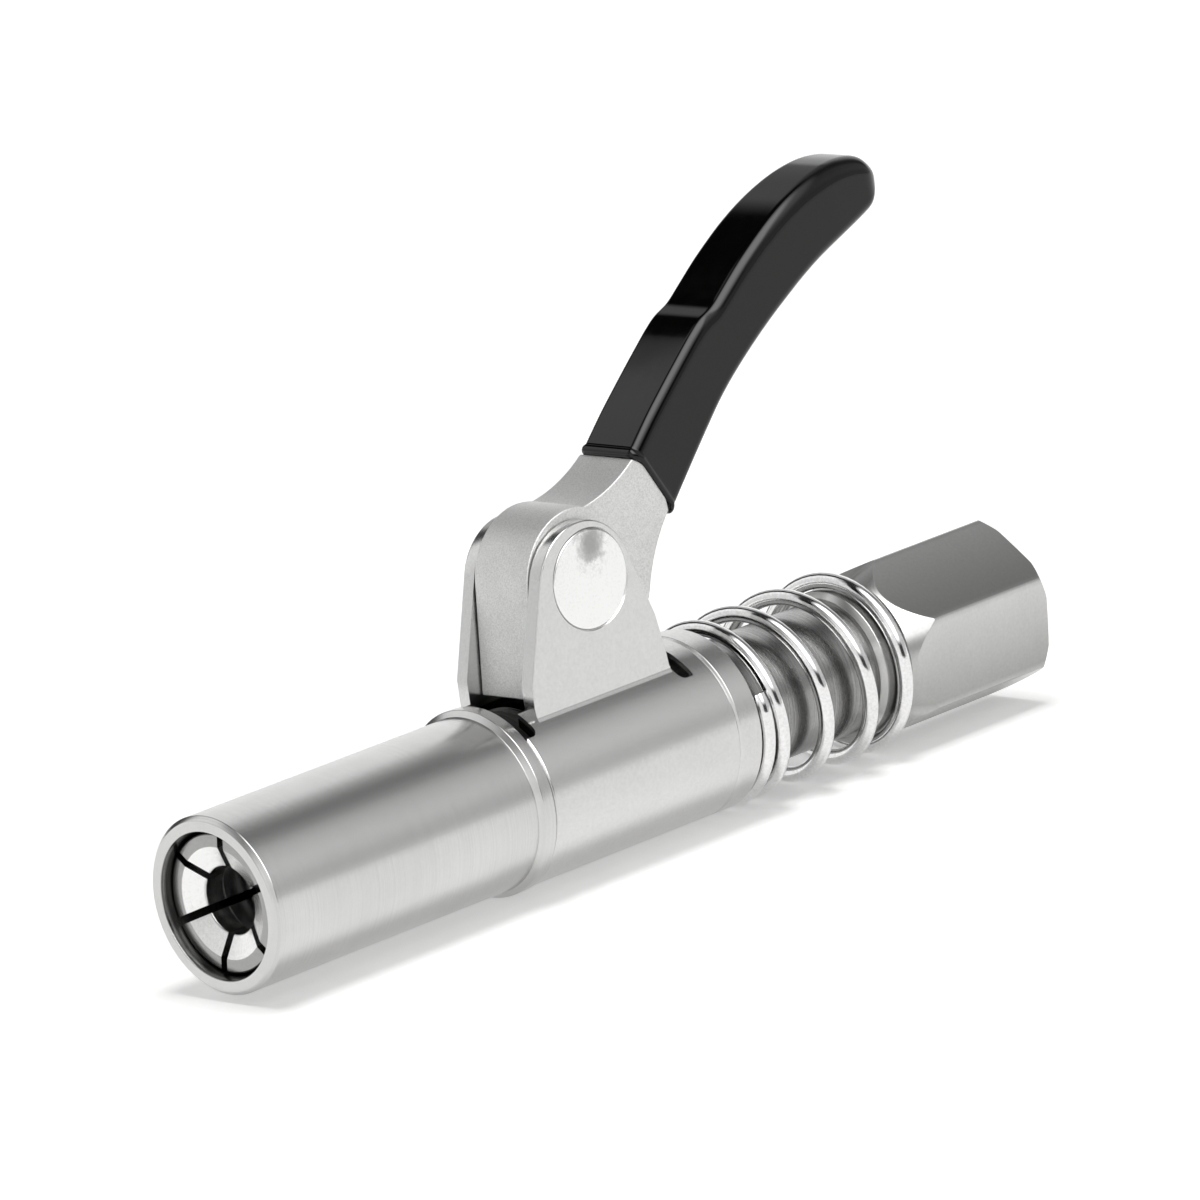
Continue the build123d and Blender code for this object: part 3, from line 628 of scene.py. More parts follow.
def makeYoke():
    # a turned tube and a plate in the ears' outline, joined; bore, slot, reliefs and hole cut out
    v = yoke
    outer = v["earGap"] / 2 + v["earThickness"]
    half = v["earGap"] / 2
    ends = roundCorners(
        [(v["front"], 0), (v["front"], v["radius"]), (v["rear"], v["radius"]), (v["rear"], 0)],
        [0, v["endRound"], v["endRound"], 0], closed=False)
    tube = cylinderMesh("tube", ends[1:-1], v["sides"])
    steps = [("UNION", cappedMesh("ears", plateGrid(earOutline(), outer, v["rim"])))]
    steps += [("UNION", creaseMesh(side)) for side in (-1, 1)]
    spigotEnd, collarStart = v["front"] + v["spigotIn"], v["rear"] - v["collarIn"]
    before, behind = v["front"] - v["cutPast"], v["rear"] + v["cutPast"]
    bore = [(before, v["threadRadius"]), (spigotEnd, v["threadRadius"]), (spigotEnd, v["bore"]),
            (collarStart, v["bore"]), (collarStart, v["threadRadius"]), (behind, v["threadRadius"])]
    steps.append(("DIFFERENCE", cylinderMesh("bore", bore, v["sides"])))
    slot = [(before, -half), (v["slotEnd"], -half), (v["slotEnd"], half), (before, half)]
    steps.append(("DIFFERENCE", prismMesh("slot", slot, (0, v["slotTop"]), axis=2)))
    # wide relief cuts at both ends of the slot, their inner corners rounded
    front, rear, wide = v["frontReliefRound"], v["rearReliefRound"], v["reliefHalf"]
    for start, end, radii in ((before, v["front"] + v["frontRelief"], [0, front, front, 0]),
                              (v["slotEnd"] - v["rearRelief"], v["slotEnd"], [rear, 0, 0, rear])):
        loop = roundCorners([(start, -wide), (end, -wide), (end, wide), (start, wide)], radii)
        steps.append(("DIFFERENCE", prismMesh("relief", loop, (v["reliefFloor"], v["reliefTop"]), axis=2)))
    flare, past = v["pinHole"] + v["holeEdge"], v["holeCut"]
    hole = turnedAboutX([(-past, flare), (-outer, flare), (v["holeEdge"] - outer, v["pinHole"]),
                         (outer - v["holeEdge"], v["pinHole"]), (outer, flare), (past, flare)], 96)
    steps.append(("DIFFERENCE", cappedMesh("hole", aboutPivot(hole))))
    addPiece("yoke_body", cutAndJoin("yoke_body", tube, steps), "sleeve", "yoke", "sleeve_nickel",
             "satinNickelPlain", 30)


makeYoke()

# rear collar: screwed into the yoke; the V of its front edge is the dark joint line
rearCollar = {
    "front": -42.1, "frontBevel": 0.3, "rear": -39.0, "rearBevel": 0.4, "inner": 6.45, "outer": 8.6,
    "spigot": 1.9, "spigotRadius": 7.5, "sides": 160,
}


def makeRearCollar():
    # one closed profile turned about X
    v = rearCollar
    grid = turnedRows([
        (v["front"] - v["spigot"], v["inner"], 0.1), (v["rear"], v["inner"], 0.15),
        (v["rear"], v["outer"] - v["rearBevel"], 0.12), (v["rear"] - v["rearBevel"], v["outer"], 0.12),
        (v["front"] + v["frontBevel"], v["outer"], 0.08), (v["front"], v["outer"] - v["frontBevel"], 0.03),
        (v["front"], v["spigotRadius"], 0), (v["front"] - v["spigot"], v["spigotRadius"], 0.15),
    ], v["sides"])
    addRing("rear_collar_body", grid, "sleeve", "rear_collar", "sleeve_nickel", "satinNickelPlain")


makeRearCollar()

# hex body: hex with the hose port, neck under the spring, then the stem with the toe's waist
hexBody = {
    "flats": 15.0, "crown": 0.12, "turn": 6.5, "cornerRound": 0.28, "length": 18.3, "frontSlope": 19.0,
    "edgeSink": 0.02, "endRadius": 7.85, "endStep": 0.1, "neckRadius": 7.2, "neckLength": 3.5,
    "neckBevel": 0.5, "stemRadius": 6.4, "portRadius": 4.3, "portDepth": 11.0, "portMouth": 4.7,
    "threadBegins": -0.2, "threadPitch": 0.94, "threadDepth": 0.5, "passage": 1.5, "stemFront": -70.5,
    "camWall": -55.68, "waistEnd": -50.03, "waistRadius": 3.9, "grooveFront": -44.94, "grooveRear": -44.0,
    "grooveRadius": 5.6, "valveSeat": -57.88, "valveBore": 2.95, "threadEnd": -65.2, "holderThread": 4.2,
}


def hexEdge():
    # the hexagon's edge with its corners rounded and more points on the flats, as the angles
    # about X and the radii of its points
    v = hexBody
    turns = np.radians(v["turn"] + 60 * np.arange(6))
    corners = v["flats"] / np.sqrt(3) * np.stack([-np.sin(turns), np.cos(turns)], -1)
    edge = roundCorners(corners, v["cornerRound"], steps=6)
    parts = []
    for here, after in zip(edge, np.roll(edge, -1, 0)):
        count = 18 if np.linalg.norm(after - here) > 1 else 1
        parts.append(here + (after - here) * np.linspace(0, 1, count, endpoint=False)[:, None])
    edge = np.vstack(parts)
    # linishing leaves each flat a little fuller in its middle: r grows by crown x (1 - s^2)
    share = np.mod(np.degrees(np.arctan2(-edge[:, 0], edge[:, 1])) - v["turn"], 60) / 30 - 1
    edge *= 1 + v["crown"] / v["flats"] * 2 * (1 - share[:, None] ** 2)
    return np.arctan2(-edge[:, 0], edge[:, 1]), np.hypot(edge[:, 0], edge[:, 1])


def makeHexBody():
    # a profile carried round X whose outer radius follows the hexagon's edge
    v = hexBody
    angle, radius = hexEdge()
    front = -v["length"]
    neck = front - v["neckLength"]
    slope = np.tan(np.radians(v["frontSlope"]))
    inscribed = v["flats"] / 2 - v["edgeSink"]
    # the end cones meet the flats where a flat's radius says, so a row's stations vary round it
    rows = [
        (neck, v["passage"], 0), (neck, v["neckRadius"] - v["neckBevel"], 0.1),
        (neck + v["neckBevel"], v["neckRadius"], 0.15), (front, v["neckRadius"], 0.1),
        (front, inscribed, 0.05), (front + (radius - inscribed) / slope, radius, 0.3),
        (-np.maximum(radius - v["endRadius"], v["endStep"]), radius, 0.08),
        (0, np.minimum(radius - v["endStep"], v["endRadius"]), 0.06), (0, v["portMouth"], 0.1),
        (v["portRadius"] - v["portMouth"], v["portRadius"], 0.05), (-v["portDepth"], v["portRadius"], 0.1),
        (-v["portDepth"] - (v["portRadius"] - v["passage"]) / 2, v["passage"], 0.1)]
    profile = np.stack([np.stack([x + 0 * radius, r + 0 * radius], -1) for x, r, e in rows], 1)
    profile = roundCorners(profile, np.array([e for x, r, e in rows]), steps=3)
    # more rows where the port's thread is cut
    inPort = np.abs(profile[0, :, 1] - v["portRadius"]) < 1e-6
    first = np.flatnonzero(inPort[:-1] & inPort[1:] & (np.abs(np.diff(profile[0, :, 0])) > 2))[0]
    steps = np.linspace(0, 1, int(v["portDepth"] / v["threadPitch"] * 8))[1:-1, None]
    extra = profile[:, first, None] + (profile[:, first + 1, None] - profile[:, first, None]) * steps
    profile = np.concatenate([profile[:, :first + 1], extra, profile[:, first + 1:]], 1)
    grid = aboutX(profile[..., 0], profile[..., 1], angle[:, None])
    grid = threaded(grid, -v["portDepth"], v["threadBegins"], v["portRadius"], v["threadPitch"],
                    v["threadDepth"], inner=True)
    addRing("hex_body_steel", grid, "core", "hex_body", "core_steel", "satinNickelHex", 32)


def makeStem():
    # one closed profile turned about X
    v = hexBody
    neck = -v["length"] - v["neckLength"]
    seatEnd = v["valveSeat"] + v["passage"] - v["valveBore"]
    rows = [
        (v["stemFront"], v["stemRadius"], 0.15), (v["camWall"], v["stemRadius"], 0.15),
        (v["camWall"], v["waistRadius"], 0.2), (v["waistEnd"], v["waistRadius"], 0.2),
        (v["waistEnd"], v["stemRadius"], 0.15), (v["grooveFront"], v["stemRadius"], 0.05),
        (v["grooveFront"], v["grooveRadius"], 0.05), (v["grooveRear"], v["grooveRadius"], 0.05),
        (v["grooveRear"], v["stemRadius"], 0.05), (neck, v["stemRadius"], 0), (neck, v["passage"], 0),
        (v["valveSeat"], v["passage"], 0.1), (seatEnd, v["valveBore"], 0.1),
        (v["threadEnd"], v["valveBore"], 0.1), (v["threadEnd"], v["holderThread"], 0.1),
        (v["stemFront"], v["holderThread"], 0.1)]
    addRing("hex_body_stem", turnedRows(rows, 144, 3), "core", "hex_body", "core_steel",
            "oiledTurnedStem", 32)


makeHexBody()
makeStem()

# main spring: closed turns at both ends, open turns between
mainSpring = {
    "radius": 8.05, "wire": 1.5, "first": -38.25, "rear": -18.3, "length": 20.7, "travel": 4.2,
    "closedPitch": 1.55, "openPitch": 5.8155, "frontClosed": 1.0, "active": 2.82, "rearClosed": 0.8,
    "startAngle": 70.0, "endTaper": 0.8, "perTurn": 56, "wireSides": 20,
}


def makeMainSpring():
    # a helix about X whose station grows by the pitch times the turns, with a circle carried
    # along it
    v = mainSpring
    turns = v["frontClosed"] + v["active"] + v["rearClosed"]
    turn = np.linspace(0, turns, int(turns * v["perTurn"]) + 1)
    opened = np.clip(turn - v["frontClosed"], 0, v["active"])
    station = v["first"] + opened * v["openPitch"] + (turn - opened) * v["closedPitch"]
    # the pitch changes over a sixth of a turn, not at once
    window = np.ones(v["perTurn"] // 6) / (v["perTurn"] // 6)
    trim = len(window) // 2
    smooth = np.convolve(station, window, mode="valid")
    station[trim:trim + len(smooth)] = smooth
    angle = np.radians(v["startAngle"]) + 2 * np.pi * turn
    centre = aboutX(station, v["radius"], angle)
    along = np.gradient(centre, axis=0)
    along /= np.linalg.norm(along, axis=1, keepdims=True)
    out = aboutX(0, 1, angle)
    side = np.cross(along, out)
    # the section's last points are drawn in, for a rounded cut end
    bend = np.linspace(0, 2 * np.pi, v["wireSides"], endpoint=False)[None, :, None]
    size = v["wire"] / 2 * np.ones((len(centre), 1, 1))
    size[[0, -1]] *= v["endTaper"]
    grid = centre[:, None] + size * (out[:, None] * np.cos(bend) + side[:, None] * np.sin(bend))
    piece = addPiece("main_spring_wire", cappedMesh("main_spring_wire", grid), "core", "main_spring",
                     "spring_steel", "drawnSpringWire", 60)
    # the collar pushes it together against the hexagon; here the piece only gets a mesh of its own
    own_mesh(piece)


makeMainSpring()

# pivot pin: a plain headless pin, flush with the ears
pivotPin = {"radius": 4.55, "halfLength": 4.98, "edge": 0.16, "dish": 0.03}


def makePivotPin():
    # a profile turned about the pin's own axis, along Y
    v = pivotPin
    flat = v["radius"] - v["edge"]
    half = v["halfLength"]
    rim = roundCorners([(-half, 0), (-half, v["radius"]), (half, v["radius"]), (half, 0)],
                       [0, v["edge"], v["edge"], 0], steps=5, closed=False)
    rim = rim[rim[:, 1] > flat + 0.005]
    # the ground faces are dished a little towards the middle
    share = np.linspace(0, 1, 9)
    dish = np.column_stack([v["dish"] * np.cos(share * np.pi / 2) - half, flat * share])
    grid = aboutPivot(turnedAboutX(np.vstack([dish, rim, dish[::-1] * [-1, 1]]), 96))
    addPiece("pivot_pin_steel", meshOf("pivot_pin_steel", [(grid, False, True)]), "sleeve", "pivot_pin",
             "pin_steel", "groundPinSteel")


makePivotPin()

# lever arm: hub, foot over the slot, involute toe, heel and the root of the arm; pairs are a
# place along X and up from the pivot
leverArm = {
    "width": 6.8, "hub": 6.4, "hubEnd": 1.9, "heel": 9.2, "heelTurns": (30, 50, 68), "camRadius": 12.2,
    "camLead": 1.5, "camPast": 0.03, "travel": 4.2, "footReach": 7.4, "footFloor": 8.3, "corner": 1.4,
    "toeEnd": 1.2, "toeRear": 2.7, "rearNeck": (9.75, -0.4), "frontNeck": (5.0, 6.85),
    "jointFront": (8.55, 8.72), "jointAngle": 32.2, "jointLength": 6.76, "endBow": 0.95, "pinHole": 4.6,
    "edge": 0.13, "flatRing": 0.08, "spacing": 0.22,
}


def fromPivot(along, up):
    return np.array([pivot[0] + along, pivot[1] + up])


def fromJoint(along, beyond):
    # along the joint between arm and grip from its front end, and beyond it towards the tip
    down = np.radians(leverArm["jointAngle"])
    frontX, frontZ = leverArm["jointFront"]
    return fromPivot(frontX + along * np.sin(down) + beyond * np.cos(down),
                     frontZ - along * np.cos(down) + beyond * np.sin(down))


def armOutline():
    # seen from the side: arcs and straight lines round hub, foot, toe, heel, neck and joint
    v = leverArm
    frontRoot = fromJoint(0, 0)
    rearRoot = fromJoint(v["jointLength"], 0)
    hubTop = fromPivot(v["hubEnd"], np.sqrt(v["hub"] ** 2 - v["hubEnd"] ** 2))
    crown = fromPivot(*(v["hub"] * np.array([-1, 1]) / np.sqrt(2)))
    foot = np.array([pivot[0] - v["footReach"], v["footFloor"]])
    hubFront = tangentTo(pivot, v["hub"], foot, -1)
    # the toe's flank is the involute of the cam circle, and goes on a little past the travel
    turn = np.linspace(0, v["travel"] / v["camRadius"] + v["camPast"], 24)
    reach = v["camLead"] + v["camRadius"] * turn
    flank = np.stack([pivot[0] + v["camRadius"] * np.sin(turn) - reach * np.cos(turn),
                      pivot[1] - v["camRadius"] * np.cos(turn) - reach * np.sin(turn)], -1)
    tip = flank[-1]
    tipDown = tip[1] - pivot[1]
    bend = np.linspace(0, np.pi / 2, 8)
    corner = np.stack([flank[0, 0] - v["corner"] * (1 - np.sin(bend)),
                       v["footFloor"] - v["corner"] * (1 - np.cos(bend))], -1)
    heel = [fromPivot(v["heel"] * np.sin(a), -v["heel"] * np.cos(a)) for a in np.radians(v["heelTurns"])]
    toeRear = fromPivot(v["toeRear"], tipDown + 0.9)
    return evenly(joined(
        arcThrough(hubTop, crown, hubFront, 24),
        [hubFront, foot, corner[0]],
        corner,
        [corner[-1], flank[0]],
        flank,
        arcThrough(tip, fromPivot(v["toeEnd"], tipDown - 0.1), toeRear, 12),
        [toeRear, heel[0]],
        arcThrough(*heel, 12),
        arcThrough(heel[2], fromPivot(*v["rearNeck"]), rearRoot, 16),
        arcThrough(rearRoot, fromJoint(v["jointLength"] / 2, v["endBow"]), frontRoot, 12),
        arcThrough(frontRoot, fromPivot(*v["frontNeck"]), hubTop, 12),
    ), v["spacing"])


def makeLeverArm():
    # a plate in the arm's outline, its rim rounded
    v = leverArm
    grid = plateGrid(armOutline(), v["width"] / 2, v["edge"], steps=4)
    # flat sides run from the rim to the pin hole, whose wall joins the two; a narrow flat ring
    # inside the rim keeps the long spokes from bending its normals
    away = grid[0][:, [0, 2]] - pivot
    hole = pivot + v["pinHole"] * away / np.linalg.norm(away, axis=1, keepdims=True)
    holes, rings = [], []
    for rim in (grid[0], grid[-1]):
        loop = np.insert(hole, 1, rim[0, 1], axis=1)
        spoke = loop - rim
        holes.append(loop)
        rings.append(rim + v["flatRing"] * spoke / np.linalg.norm(spoke, axis=1, keepdims=True))
    patches = [grid, np.stack([holes[0], rings[0], grid[0]]), np.stack([grid[-1], rings[1], holes[1]]),
               np.stack([holes[1], holes[0]])]
    mesh = meshOf("lever_arm_steel", [(patch, False, True) for patch in patches])
    addPiece("lever_arm_steel", mesh, "lever", "lever_arm", "lever_steel", "sandedNickelLever", 42)


makeLeverArm()

# lever grip: a dipped cover with a beaded root, a shallow thumb shelf on its front and a round
# tip; front and back are points along X and up from the pivot, and in the lists below them the
# first number of each pair is the place along X from the pivot
leverGrip = {
    "proudFront": 0.3, "proudRear": 0.75, "bead": 0.12, "beadLength": 0.9, "lip": 0.2, "sideBow": 0.85,
    "frontBow": 0.18, "bowLength": 4.0, "rootShare": 0.03, "tip": (45.1, 26.1), "tipRound": 2.5,
    "front": [(11.3, 11.82), (13.86, 14.12), (15.88, 15.87), (17.9, 17.58), (18.6, 18.13), (19.2, 18.58),
              (19.7, 18.89), (20.15, 19.1), (20.6, 19.28), (21.1, 19.49), (21.6, 19.77), (22.1, 20.12),
              (22.92, 20.76), (25.93, 23.03), (29.86, 25.52), (33.4, 27.22), (37.0, 28.36), (40.3, 28.74),
              (43.3, 28.15)],
    "back": [(18.3, 8.4), (21.6, 11.6), (25.6, 14.6), (30.1, 17.42), (35.4, 20.2), (42.2, 22.85),
             (44.1, 23.9)],
    "halfWidth": [(0, 3.5), (30, 3.5), (38, 3.45), (45, 3.3)],
    "frontAcross": [(0, 0.8), (20, 0.8), (30, 1.0), (38, 1.5), (45, 1.9)],
    "frontDown": [(0, 1.4), (20, 1.5), (38, 1.9), (45, 2.0)],
    "backAcross": [(0, 0.9), (45, 1.3)], "backDown": [(0, 0.9), (45, 1.3)],
}


def makeLeverGrip():
    # rounded sections between a front line and a back line; a point of one line and the point at
    # the same share of the other's length span the section's depth
    v = leverGrip
    tip = fromPivot(*v["tip"])
    # stations crowd at the beaded root, and towards the tip, where the two lines close
    rest = 1 - v["rootShare"]
    walk = np.r_[np.linspace(0, v["rootShare"], 13)[:-1], 1 - rest * (1 - np.linspace(0, 1, 130)) ** 1.5]

    def lineFrom(root, points):
        line = smoothThrough(np.vstack([root, [fromPivot(*p) for p in points], tip]), 800)
        return pointsAt(line, walk * walkedAlong(line)[-1])

    frontLine = lineFrom(fromJoint(-v["proudFront"], 0), v["front"])
    backLine = lineFrom(fromJoint(leverArm["jointLength"] + v["proudRear"], 0), v["back"])
    middle = (frontLine + backLine) / 2
    halfDepth = (frontLine - backLine) / 2
    along = middle[:, 0] - pivot[0]
    walked = walkedAlong(middle)

    def graded(name):
        return np.interp(along, *np.array(v[name]).T)

    # the root's bead: half a sine wave outwards, and a rounded lip at its very end
    lip = np.clip(1 - walked / v["lip"], 0, 1)
    bead = v["bead"] * np.sin(np.pi * np.clip(walked / v["beadLength"], 0, 1))
    grow = bead - v["lip"] * (1 - np.sqrt(1 - lip**2))
    depth = np.linalg.norm(halfDepth, axis=1)
    unit = halfDepth / np.maximum(depth, 1e-6)[:, None]
    depth = depth + np.where(depth > 1, grow, 0)
    halfWidth = graded("halfWidth") + grow
    # section: a rectangle of depth by width whose corners are quarter ellipses
    bend = np.linspace(0, np.pi / 2, 9)
    quarters = []
    for signUp, signOut, order, side in ((1, 1, 1, "front"), (-1, 1, -1, "back"), (-1, -1, 1, "back"),
                                         (1, -1, -1, "front")):
        down = np.minimum(graded(side + "Down"), depth * 0.98)[:, None]
        across = graded(side + "Across")[:, None]
        up = signUp * (depth[:, None] - down + down * np.cos(bend)[::order])
        out = signOut * (halfWidth[:, None] - across + across * np.sin(bend)[::order])
        quarters.append(np.stack([up, out], -1))
    section = np.concatenate(quarters, 1)
    flat = middle[:, None] + unit[:, None] * section[..., :1]
    # seen from the front the tip is round too: the width shrinks as a circle towards the end
    beyond = np.clip(flat[..., 0] - (tip[0] - v["tipRound"]), 0, v["tipRound"])
    shrink = 1 - (v["tipRound"] - np.sqrt(v["tipRound"] ** 2 - beyond**2)) / halfWidth[:, None]
    # the root's edge bows towards the tip in the middle of each face, fading out up the grip
    upShare = section[..., 0] / depth[:, None].clip(1e-6)
    outShare = section[..., 1] / halfWidth[:, None]
    bow = v["sideBow"] * (1 - upShare**2) * np.abs(outShare) ** 6 + v["frontBow"] * (1 - outShare**2)
    bow = bow * np.clip(1 - walked / v["bowLength"], 0, 1)[:, None] ** 2
    flat = flat + bow[..., None] * (fromJoint(0, 1) - fromJoint(0, 0))
    grid = np.stack([flat[..., 0], section[..., 1] * shrink, flat[..., 1]], -1)
    addPiece("lever_grip_cover", cappedMesh("lever_grip_cover", grid), "lever", "lever_grip", "grip_black",
             "dippedVinylBlack", 60)


makeLeverGrip()

# jaws: a turned collet ring sawn into six; places are measured back from its front face
jaws = {
    "front": -98.5, "count": 6, "turn": 39.5, "slot": 0.75, "head": 6.4, "headLength": 0.6, "taper": 15.0,
    "land": 5.75, "landToWaist": 3.0, "waist": 5.0, "waistEnd": 14.0, "tailStart": 16.0, "tail": 5.9,
    "groove": (20.8, 22.2), "grooveDepth": 0.6, "length": 23.0, "hook": (17.88, 20.08), "hookRadius": 5.0,
    "lastBore": 4.1, "throat": 3.1, "funnel": 5.2, "funnelDepth": 1.0, "lip": 2.0, "cavity": 3.8,
}


def makeJaws():
    # the ring's profile, carried round X over each jaw's own angle
    v = jaws
    taperEnd = v["headLength"] + (v["head"] - v["land"]) / np.tan(np.radians(v["taper"]))
    grooveFront, grooveRear = v["groove"]
    grooveRadius = v["tail"] - v["grooveDepth"]
    hookFront, hookRear = v["hook"]
    lipEnd = v["funnelDepth"] + v["lip"]
    rows = np.array([
        (0, v["funnel"], 0.15), (0, v["head"], 0.2), (v["headLength"], v["head"], 0.15),
        (taperEnd, v["land"], 0.3), (taperEnd + v["landToWaist"], v["waist"], 0.5),
        (v["waistEnd"], v["waist"], 0.5), (v["tailStart"], v["tail"], 0.4), (grooveFront, v["tail"], 0.1),
        (grooveFront, grooveRadius, 0.05), (grooveRear, grooveRadius, 0.05), (grooveRear, v["tail"], 0.1),
        (v["length"], v["tail"], 0.2), (v["length"], v["lastBore"], 0.1), (hookRear, v["lastBore"], 0.05),
        (hookRear, v["hookRadius"], 0.1), (hookFront, v["hookRadius"], 0.1), (hookFront, v["cavity"], 0.1),
        (lipEnd + v["cavity"] - v["throat"], v["cavity"], 0.2), (lipEnd, v["throat"], 0.25),
        (v["funnelDepth"], v["throat"], 0.2)])
    profile = roundCorners(rows[:, :2], rows[:, 2], steps=3)
    station, radius = v["front"] + profile[:, :1], profile[:, 1:]
    # parallel saw cuts: at radius r a jaw reaches 30 degrees less the angle of half the slot
    reach = np.radians(180 / v["count"]) - np.arcsin(v["slot"] / 2 / radius)
    for number in range(v["count"]):
        middle = np.radians(v["turn"] + 360 / v["count"] * number)
        grid = aboutX(station, radius, middle - reach * np.linspace(-1, 1, 15))
        node = f"jaw_{number + 1}"
        mesh = meshOf(f"{node}_steel", [(grid, True, False)], [grid[:, 0], grid[:, -1]])
        addPiece(f"{node}_steel", mesh, node, node, "jaw_steel", "hardenedJawSteel", 34)


makeJaws()


# small round pieces inside: rows of (station, radius, edge), then body, slot and finish
sealFoot, cupBore, discFront, stemEnd = -87.5, 3.0, -75.2, -70.5
turnedPieces = {
    "nozzle_seal_rubber": (
        [(-92.1, 2.235, 0.1), (-92.1, 2.98, 0.2), (sealFoot, 2.98, 0.1), (sealFoot, 0.9, 0.1),
         (-90.8, 0.9, 0.2)],
        "seal_pack", "seal_rubber", "mouldedSealRubber"),
    "seal_cup_steel": (
        [(-91.5, cupBore, 0.08), (-91.5, 3.6, 0.15), (-86.3, 3.6, 0.2), (-86.3, 2.02, 0.05),
         (sealFoot, 2.02, 0.05), (sealFoot, cupBore, 0.05)],
        "seal_pack", "core_steel", "satinNickelHex"),
    "feed_tube_steel": (
        [(sealFoot, 1.0, 0.05), (sealFoot, 2.0, 0.05), (-71.88, 2.0, 0.05), (-71.88, 2.8, 0.1),
         (-70.88, 2.8, 0.1), (-70.88, 1.0, 0.05)],
        "seal_pack", "core_steel", "satinNickelHex"),
    "jaw_holder_steel": (
        [(-80.32, 2.05, 0.05), (-71.9, 2.05, 0.0), (-71.9, 3.0, 0.05), (-65.5, 3.0, 0.1), (-65.5, 4.2, 0.2),
         (stemEnd, 4.2, 0.0), (stemEnd, 6.55, 0.15), (-74.9, 6.55, 0.15), (discFront, 6.25, 0.1),
         (discFront, 3.9, 0.2), (-78.72, 3.9, 0.1), (-78.72, 4.75, 0.1), (-80.32, 4.75, 0.15)],
        "core", "core_steel", "satinNickelHex"),
    "jaw_band_rubber": (
        [(-77.6, 5.4, 0.1), (-76.4, 5.4, 0.1), (-76.4, 6.2, 0.2), (-77.6, 6.2, 0.2)],
        "core", "seal_rubber", "mouldedSealRubber"),
}
for name, (rows, body, slotName, finish) in turnedPieces.items():
    addRing(name, turnedRows(rows, 96, 3), body, name.rsplit("_", 1)[0], slotName, finish)

# the CAD's own solids that stay: sealed inside, plain shapes, dressed in the same finishes
for node, finish in {"stop_ring": "drawnSpringWire", "check_ball": "groundPinSteel",
                     "valve_spring": "drawnSpringWire", "tube_o_ring": "mouldedSealRubber"}.items():
    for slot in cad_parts[node].material_slots:
        slot.material = materials[finish]


# studio: a pale floor under the part, a white surround, and what metal mirrors there. Each list
# of pairs is a place and a tone: round is the angle about X from straight up towards the front,
# as a share of a turn that has "up" at 0.5, and along is X from -1 to 1 as a share from 0 to 1
studio = {
    "floorColour": "#F4F4F3", "floorHeight": -8.81, "floorReach": 2500.0, "floorGlow": 0.34, "surround": 0.25,
    "wallsRound": [(0.0, 0.9), (0.25, 1.1), (0.378, 1.14), (0.411, 1.05), (0.444, 0.56), (0.478, 0.28),
                   (0.508, 0.18), (0.544, 0.29), (0.578, 0.55), (0.612, 0.64), (0.65, 0.74), (0.679, 0.71),
                   (0.711, 0.6), (0.744, 0.64)],
    "wallsAlong": [(0.17, 1.5), (0.25, 1.0)],
    "cardColour": "#404040", "cardAlong": [(0.27, 0.0), (0.3, 1.0), (0.65, 1.0), (0.7, 0.0)],
    "rearBegins": (0.42, 0.46), "rearAlong": [(0.2, 1.0), (0.785, 1.0), (0.8, 0.0)],
    "rearTones": [(0.1, 0.8), (0.2, 0.85), (0.3, 1.05), (0.442, 1.08), (0.458, 0.01), (0.6, 0.01),
                  (0.65, 0.65), (0.71, 0.5), (0.79, 0.45)],
    "stripRound": [(0.495, 0.0), (0.56, 0.9), (0.61, 1.0), (0.65, 0.9), (0.71, 0.0)],
    "stripAlong": [(0.27, 0.0), (0.32, 1.0), (0.6, 1.0), (0.66, 0.3), (0.74, 0.0)], "stripStrength": 6.0,
}


def makeFloor():
    v = studio
    size, z = v["floorReach"] * mm, v["floorHeight"] * mm
    corners = [(x * size, y * size, z) for x, y in ((-1, -1), (1, -1), (1, 1), (-1, 1))]
    mesh = bpy.data.meshes.new("floor")
    mesh.from_pydata(corners, [], [(0, 1, 2, 3)])
    floor = bpy.data.objects.new("floor", mesh)
    bpy.context.scene.collection.objects.link(floor)
    material, tree = newMaterial("paleFloor")
    rays = addNode(tree, "ShaderNodeLightPath")
    larger = {"operation": "MAXIMUM"}
    seen = addNode(tree, "ShaderNodeMath", larger, i0=(rays, "Is Camera Ray"), i1=(rays, "Is Glossy Ray"))
    seen = addNode(tree, "ShaderNodeMath", larger, i0=(seen, 0), i1=(rays, "Is Transmission Ray"))
    glow = addNode(tree, "ShaderNodeMath", {"operation": "MULTIPLY"}, i0=(seen, 0), i1=v["floorGlow"])
    shader = addNode(tree, "ShaderNodeBsdfPrincipled", Base_Color=linear(v["floorColour"]), Roughness=0.9,
                     Emission_Color=(1, 1, 1, 1), Emission_Strength=(glow, 0))
    addNode(tree, "ShaderNodeOutputMaterial", Surface=(shader, 0))
    mesh.materials.append(material)


